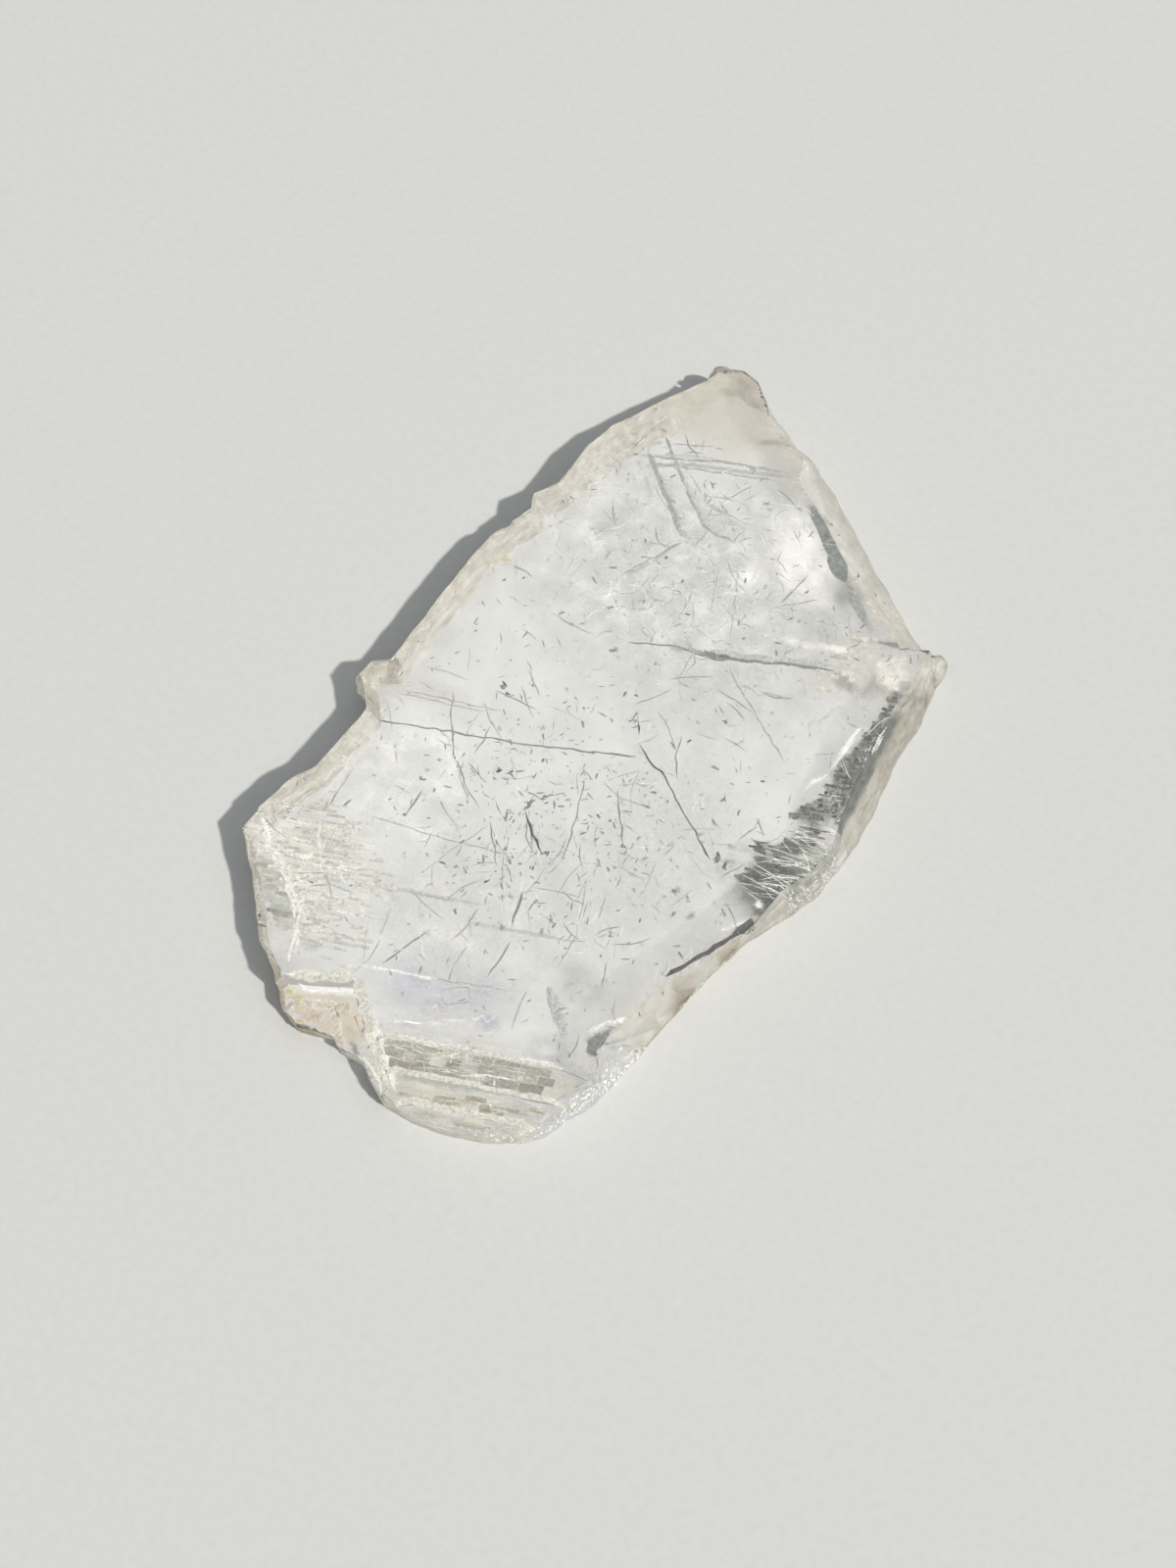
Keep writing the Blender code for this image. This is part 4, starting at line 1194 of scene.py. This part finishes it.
# Tones, share of blocks kept, how far in from the outline they thin out, half length and
# half width of a block, and outline.
BLOCK_FIELDS = (
    ("grey", 0.88, 0.7, 1.4, 0.46, (
        (2.6, -51.2), (6.6, -48.6), (12.0, -46.2), (16.0, -44.4), (21.5, -42.0), (24.8, -42.0),
        (23.8, -46.0), (14.3, -51.1), (8.0, -55.0))),
    ("grey", 0.8, 0.3, 1.0, 0.3, ((3.1, -51.4), (6.9, -48.7), (8.9, -51.0), (5.8, -52.9))),
    ("cream", 0.75, 0.5, 1.2, 0.3, (
        (7.8, -55.1), (14.3, -51.1), (22.3, -46.6), (27.0, -43.8), (26.8, -47.1), (25.2, -50.1),
        (21.4, -53.3), (13.4, -57.4))),
    ("light", 0.65, 5.0, 1.0, 0.2, (
        (-29.0, -39.3), (-24.5, -29.0), (-9.2, -34.7), (-6.3, -41.4), (-4.2, -47.6), (-10.6, -52.0),
        (-14.3, -52.5), (-20.1, -50.1), (-26.6, -44.5))),
    ("grey", 0.5, 0.8, 0.8, 0.22, (
        (-26.4, -43.6), (-22.6, -43.9), (-17.9, -46.0), (-15.1, -48.0), (-17.5, -50.0), (-21.7, -47.9))),
    ("tan", 1.0, 0.1, 1.6, 0.7, (
        (-9.7, -53.4), (-4.3, -49.6), (-1.7, -51.2), (1.1, -51.8), (0.6, -53.7), (-2.8, -55.0),
        (-6.1, -55.7), (-8.6, -55.5))),
    ("ochre", 0.9, 0.1, 0.6, 0.3, (
        (-13.4, -54.4), (-10.3, -53.7), (-8.4, -56.2), (-5.3, -56.7), (-7.2, -57.7), (-9.7, -56.9))),
    # Painted shade: dark tiles in the shadow strip and at the crumpled corner.
    ("shadow_slate", 0.9, 0.6, 0.3, 0.15, (
        (24.9, 27.6), (26.7, 28.2), (27.1, 23.4), (28.2, 18.1), (29.6, 15.1), (31.2, 9.9), (30.9, 7.2),
        (29.6, 6.6), (28.0, 4.8), (24.7, 3.4), (25.1, 5.8), (26.2, 8.3), (26.0, 11.6), (25.3, 13.2),
        (25.6, 17.0), (25.3, 22.4))),
    ("shadow_slate", 0.85, 0.9, 0.7, 0.14, (
        (22.7, -1.8), (25.8, -0.1), (26.5, 2.4), (27.4, 4.8), (29.6, 6.6), (29.8, 3.8), (29.4, 0.9),
        (29.8, -1.8), (29.7, -5.7), (31.7, -6.6), (30.6, -9.9), (28.9, -10.1), (28.6, -7.6), (25.5, -7.9),
        (23.6, -7.5), (25.0, -4.9), (24.1, -3.2))),
    ("light", 0.35, 1.5, 0.6, 0.3, (
        (11.0, 30.0), (17.0, 33.0), (25.0, 33.0), (27.5, 30.0), (24.6, 26.4), (17.8, 20.0), (13.0, 22.0),
        (16.0, 27.0))),
)
fibre_ahead = heading(FIBRE_TURN)
fibre_across = Vector((-fibre_ahead.y, fibre_ahead.x))


def add_block(mesh, middle, half_length, half_width, shade):
    """One slanting block just under the top face, unless it would cross an edge or a step."""
    slanting = fibre_across + fibre_ahead * (BLOCK_SLANT + scatter.gauss(0.0, BLOCK_TWIST))
    ring = []
    for long_side, short_side in BLOCK_CORNERS:
        spot = middle + fibre_ahead * long_side * half_length + slanting * short_side * half_width
        wobble = Vector((scatter.gauss(0.0, BLOCK_WOBBLE), scatter.gauss(0.0, BLOCK_WOBBLE)))
        ring.append(spot + wobble)
    heights = [top_at(*spot) for spot in ring]
    if None in heights or max(heights) - min(heights) > BLOCK_STEP:
        return
    points = []
    for depth in (BLOCK_COVER, BLOCK_COVER + BLOCK_DEPTH):
        for spot in ring:
            place = (*(spot * MM), min(heights) - depth)
            points.append(add_point(mesh, place, shade * scatter.uniform(*POINT_SHADING)))
    close_slab(mesh, points[:4], points[4:])


cleaved_block = dusty_crack.copy()
cleaved_block.name = "cleaved_block"
block_rows = new_marks()
for tones, kept, thinning, field_length, field_width, outline in BLOCK_FIELDS:
    alongs = [Vector(corner).dot(fibre_ahead) for corner in outline]
    acrosses = [Vector(corner).dot(fibre_across) for corner in outline]
    row = min(acrosses)
    while row < max(acrosses):
        half_width = field_width * scatter.uniform(*BLOCK_WIDTHS)
        along = min(alongs) + scatter.uniform(0.0, field_length)
        while along < max(alongs):
            half_length = field_length * scatter.uniform(*BLOCK_LENGTHS)
            middle = fibre_ahead * (along + half_length) + fibre_across * (row + half_width)
            along += 2.0 * half_length + scatter.uniform(*BLOCK_GAPS)
            if scatter.random() <= kept * fade(outline_depth(middle, outline), 0.0, thinning):
                shade = Vector(scatter.choice(BLOCK_TONES[tones])) * scatter.uniform(*BLOCK_SHADING)
                add_block(block_rows, middle, half_length, half_width, shade)
        row += 2.0 * half_width + scatter.uniform(*ROW_GAPS)
finish_piece("cleavage_blocks", block_rows, cleaved_block)

# ---- Crumbs ---------------------------------------------------------------------------
# Small angular crumbs of gypsum, white as sugar, that cling to the broken edge below the
# blade and at the crumpled corner.
SUGAR = (1.0, 0.99, 0.97)
SUGAR_ROUGHNESS = 0.22
CRUMB_CORNERS = ((1, 0, 0), (-1, 0, 0), (0, 1, 0), (0, -1, 0), (0, 0, 1), (0, 0, -1))
CRUMB_SIDES = ((0, 2), (2, 1), (1, 3), (3, 0))
CRUMB_RADII = (0.5, 1.3)       # how far out its corners lie, as shares of its size
CRUMB_SIZES = (0.3, 1.0)

# Spread, lowest and highest, count, size and line of each heap, in millimetres.
CRUMB_LINES = (
    (0.9, 0.8, 6.0, 260, 0.3, ((28.8, -32.0), (28.5, -36.3), (27.8, -39.9), (27.0, -43.4))),
    (1.0, 0.8, 5.0, 170, 0.24, ((27.0, -43.4), (25.8, -46.5), (24.4, -49.5), (20.0, -52.6))),
    (0.9, 1.5, 6.5, 110, 0.22, ((34.0, 3.0), (33.8, -2.0), (32.4, -6.0))),
    (0.4, 0.6, 1.8, 60, 0.2, ((29.8, -14.0), (29.2, -18.0), (28.7, -24.0))),
    (0.6, 5.0, 7.6, 24, 0.22, ((-18.6, 56.0), (-17.4, 54.0))),
    (0.6, 5.0, 7.8, 26, 0.2, ((-6.8, 47.0), (-4.6, 50.0), (-2.5, 48.0))),
    (2.0, 4.0, 6.0, 40, 0.16, ((14.0, -55.5), (20.0, -52.0))),
)


def add_crumb(mesh, middle, size):
    """An uneven eight-sided crumb, turned at random."""
    angle = scatter.uniform(0.0, math.tau)
    axis = Vector([scatter.gauss(0.0, 1.0) for _ in range(3)])
    turn = Matrix.Rotation(angle, 3, axis)
    corners = []
    for corner in CRUMB_CORNERS:
        reach = size * scatter.uniform(*CRUMB_RADII)
        corners.append(add_point(mesh, middle + turn @ Vector(corner) * reach, SUGAR))
    for first, second in CRUMB_SIDES:
        mesh.faces.new((corners[first], corners[second], corners[4]))
        mesh.faces.new((corners[second], corners[first], corners[5]))


sugary_gypsum = dusty_crack.copy()
sugary_gypsum.name = "sugary_gypsum"
set_inputs(sugary_gypsum.node_tree.nodes["Principled BSDF"], {"Roughness": SUGAR_ROUGHNESS})
crumbs = new_marks()
for spread, lowest, highest, count, size, line in CRUMB_LINES:
    for _ in range(count):
        part = scatter.random() * (len(line) - 1)
        x, y = Vector(line[int(part)]).lerp(Vector(line[int(part) + 1]), part % 1.0)
        x += scatter.gauss(0.0, spread)
        y += scatter.gauss(0.0, spread)
        z = scatter.uniform(lowest, highest)
        place, _, _, _ = break_surface.find_nearest(Vector((x, y, z)) * MM)
        add_crumb(crumbs, place, size * MM * scatter.uniform(*CRUMB_SIZES))
finish_piece("edge_crumbs", crumbs, sugary_gypsum)
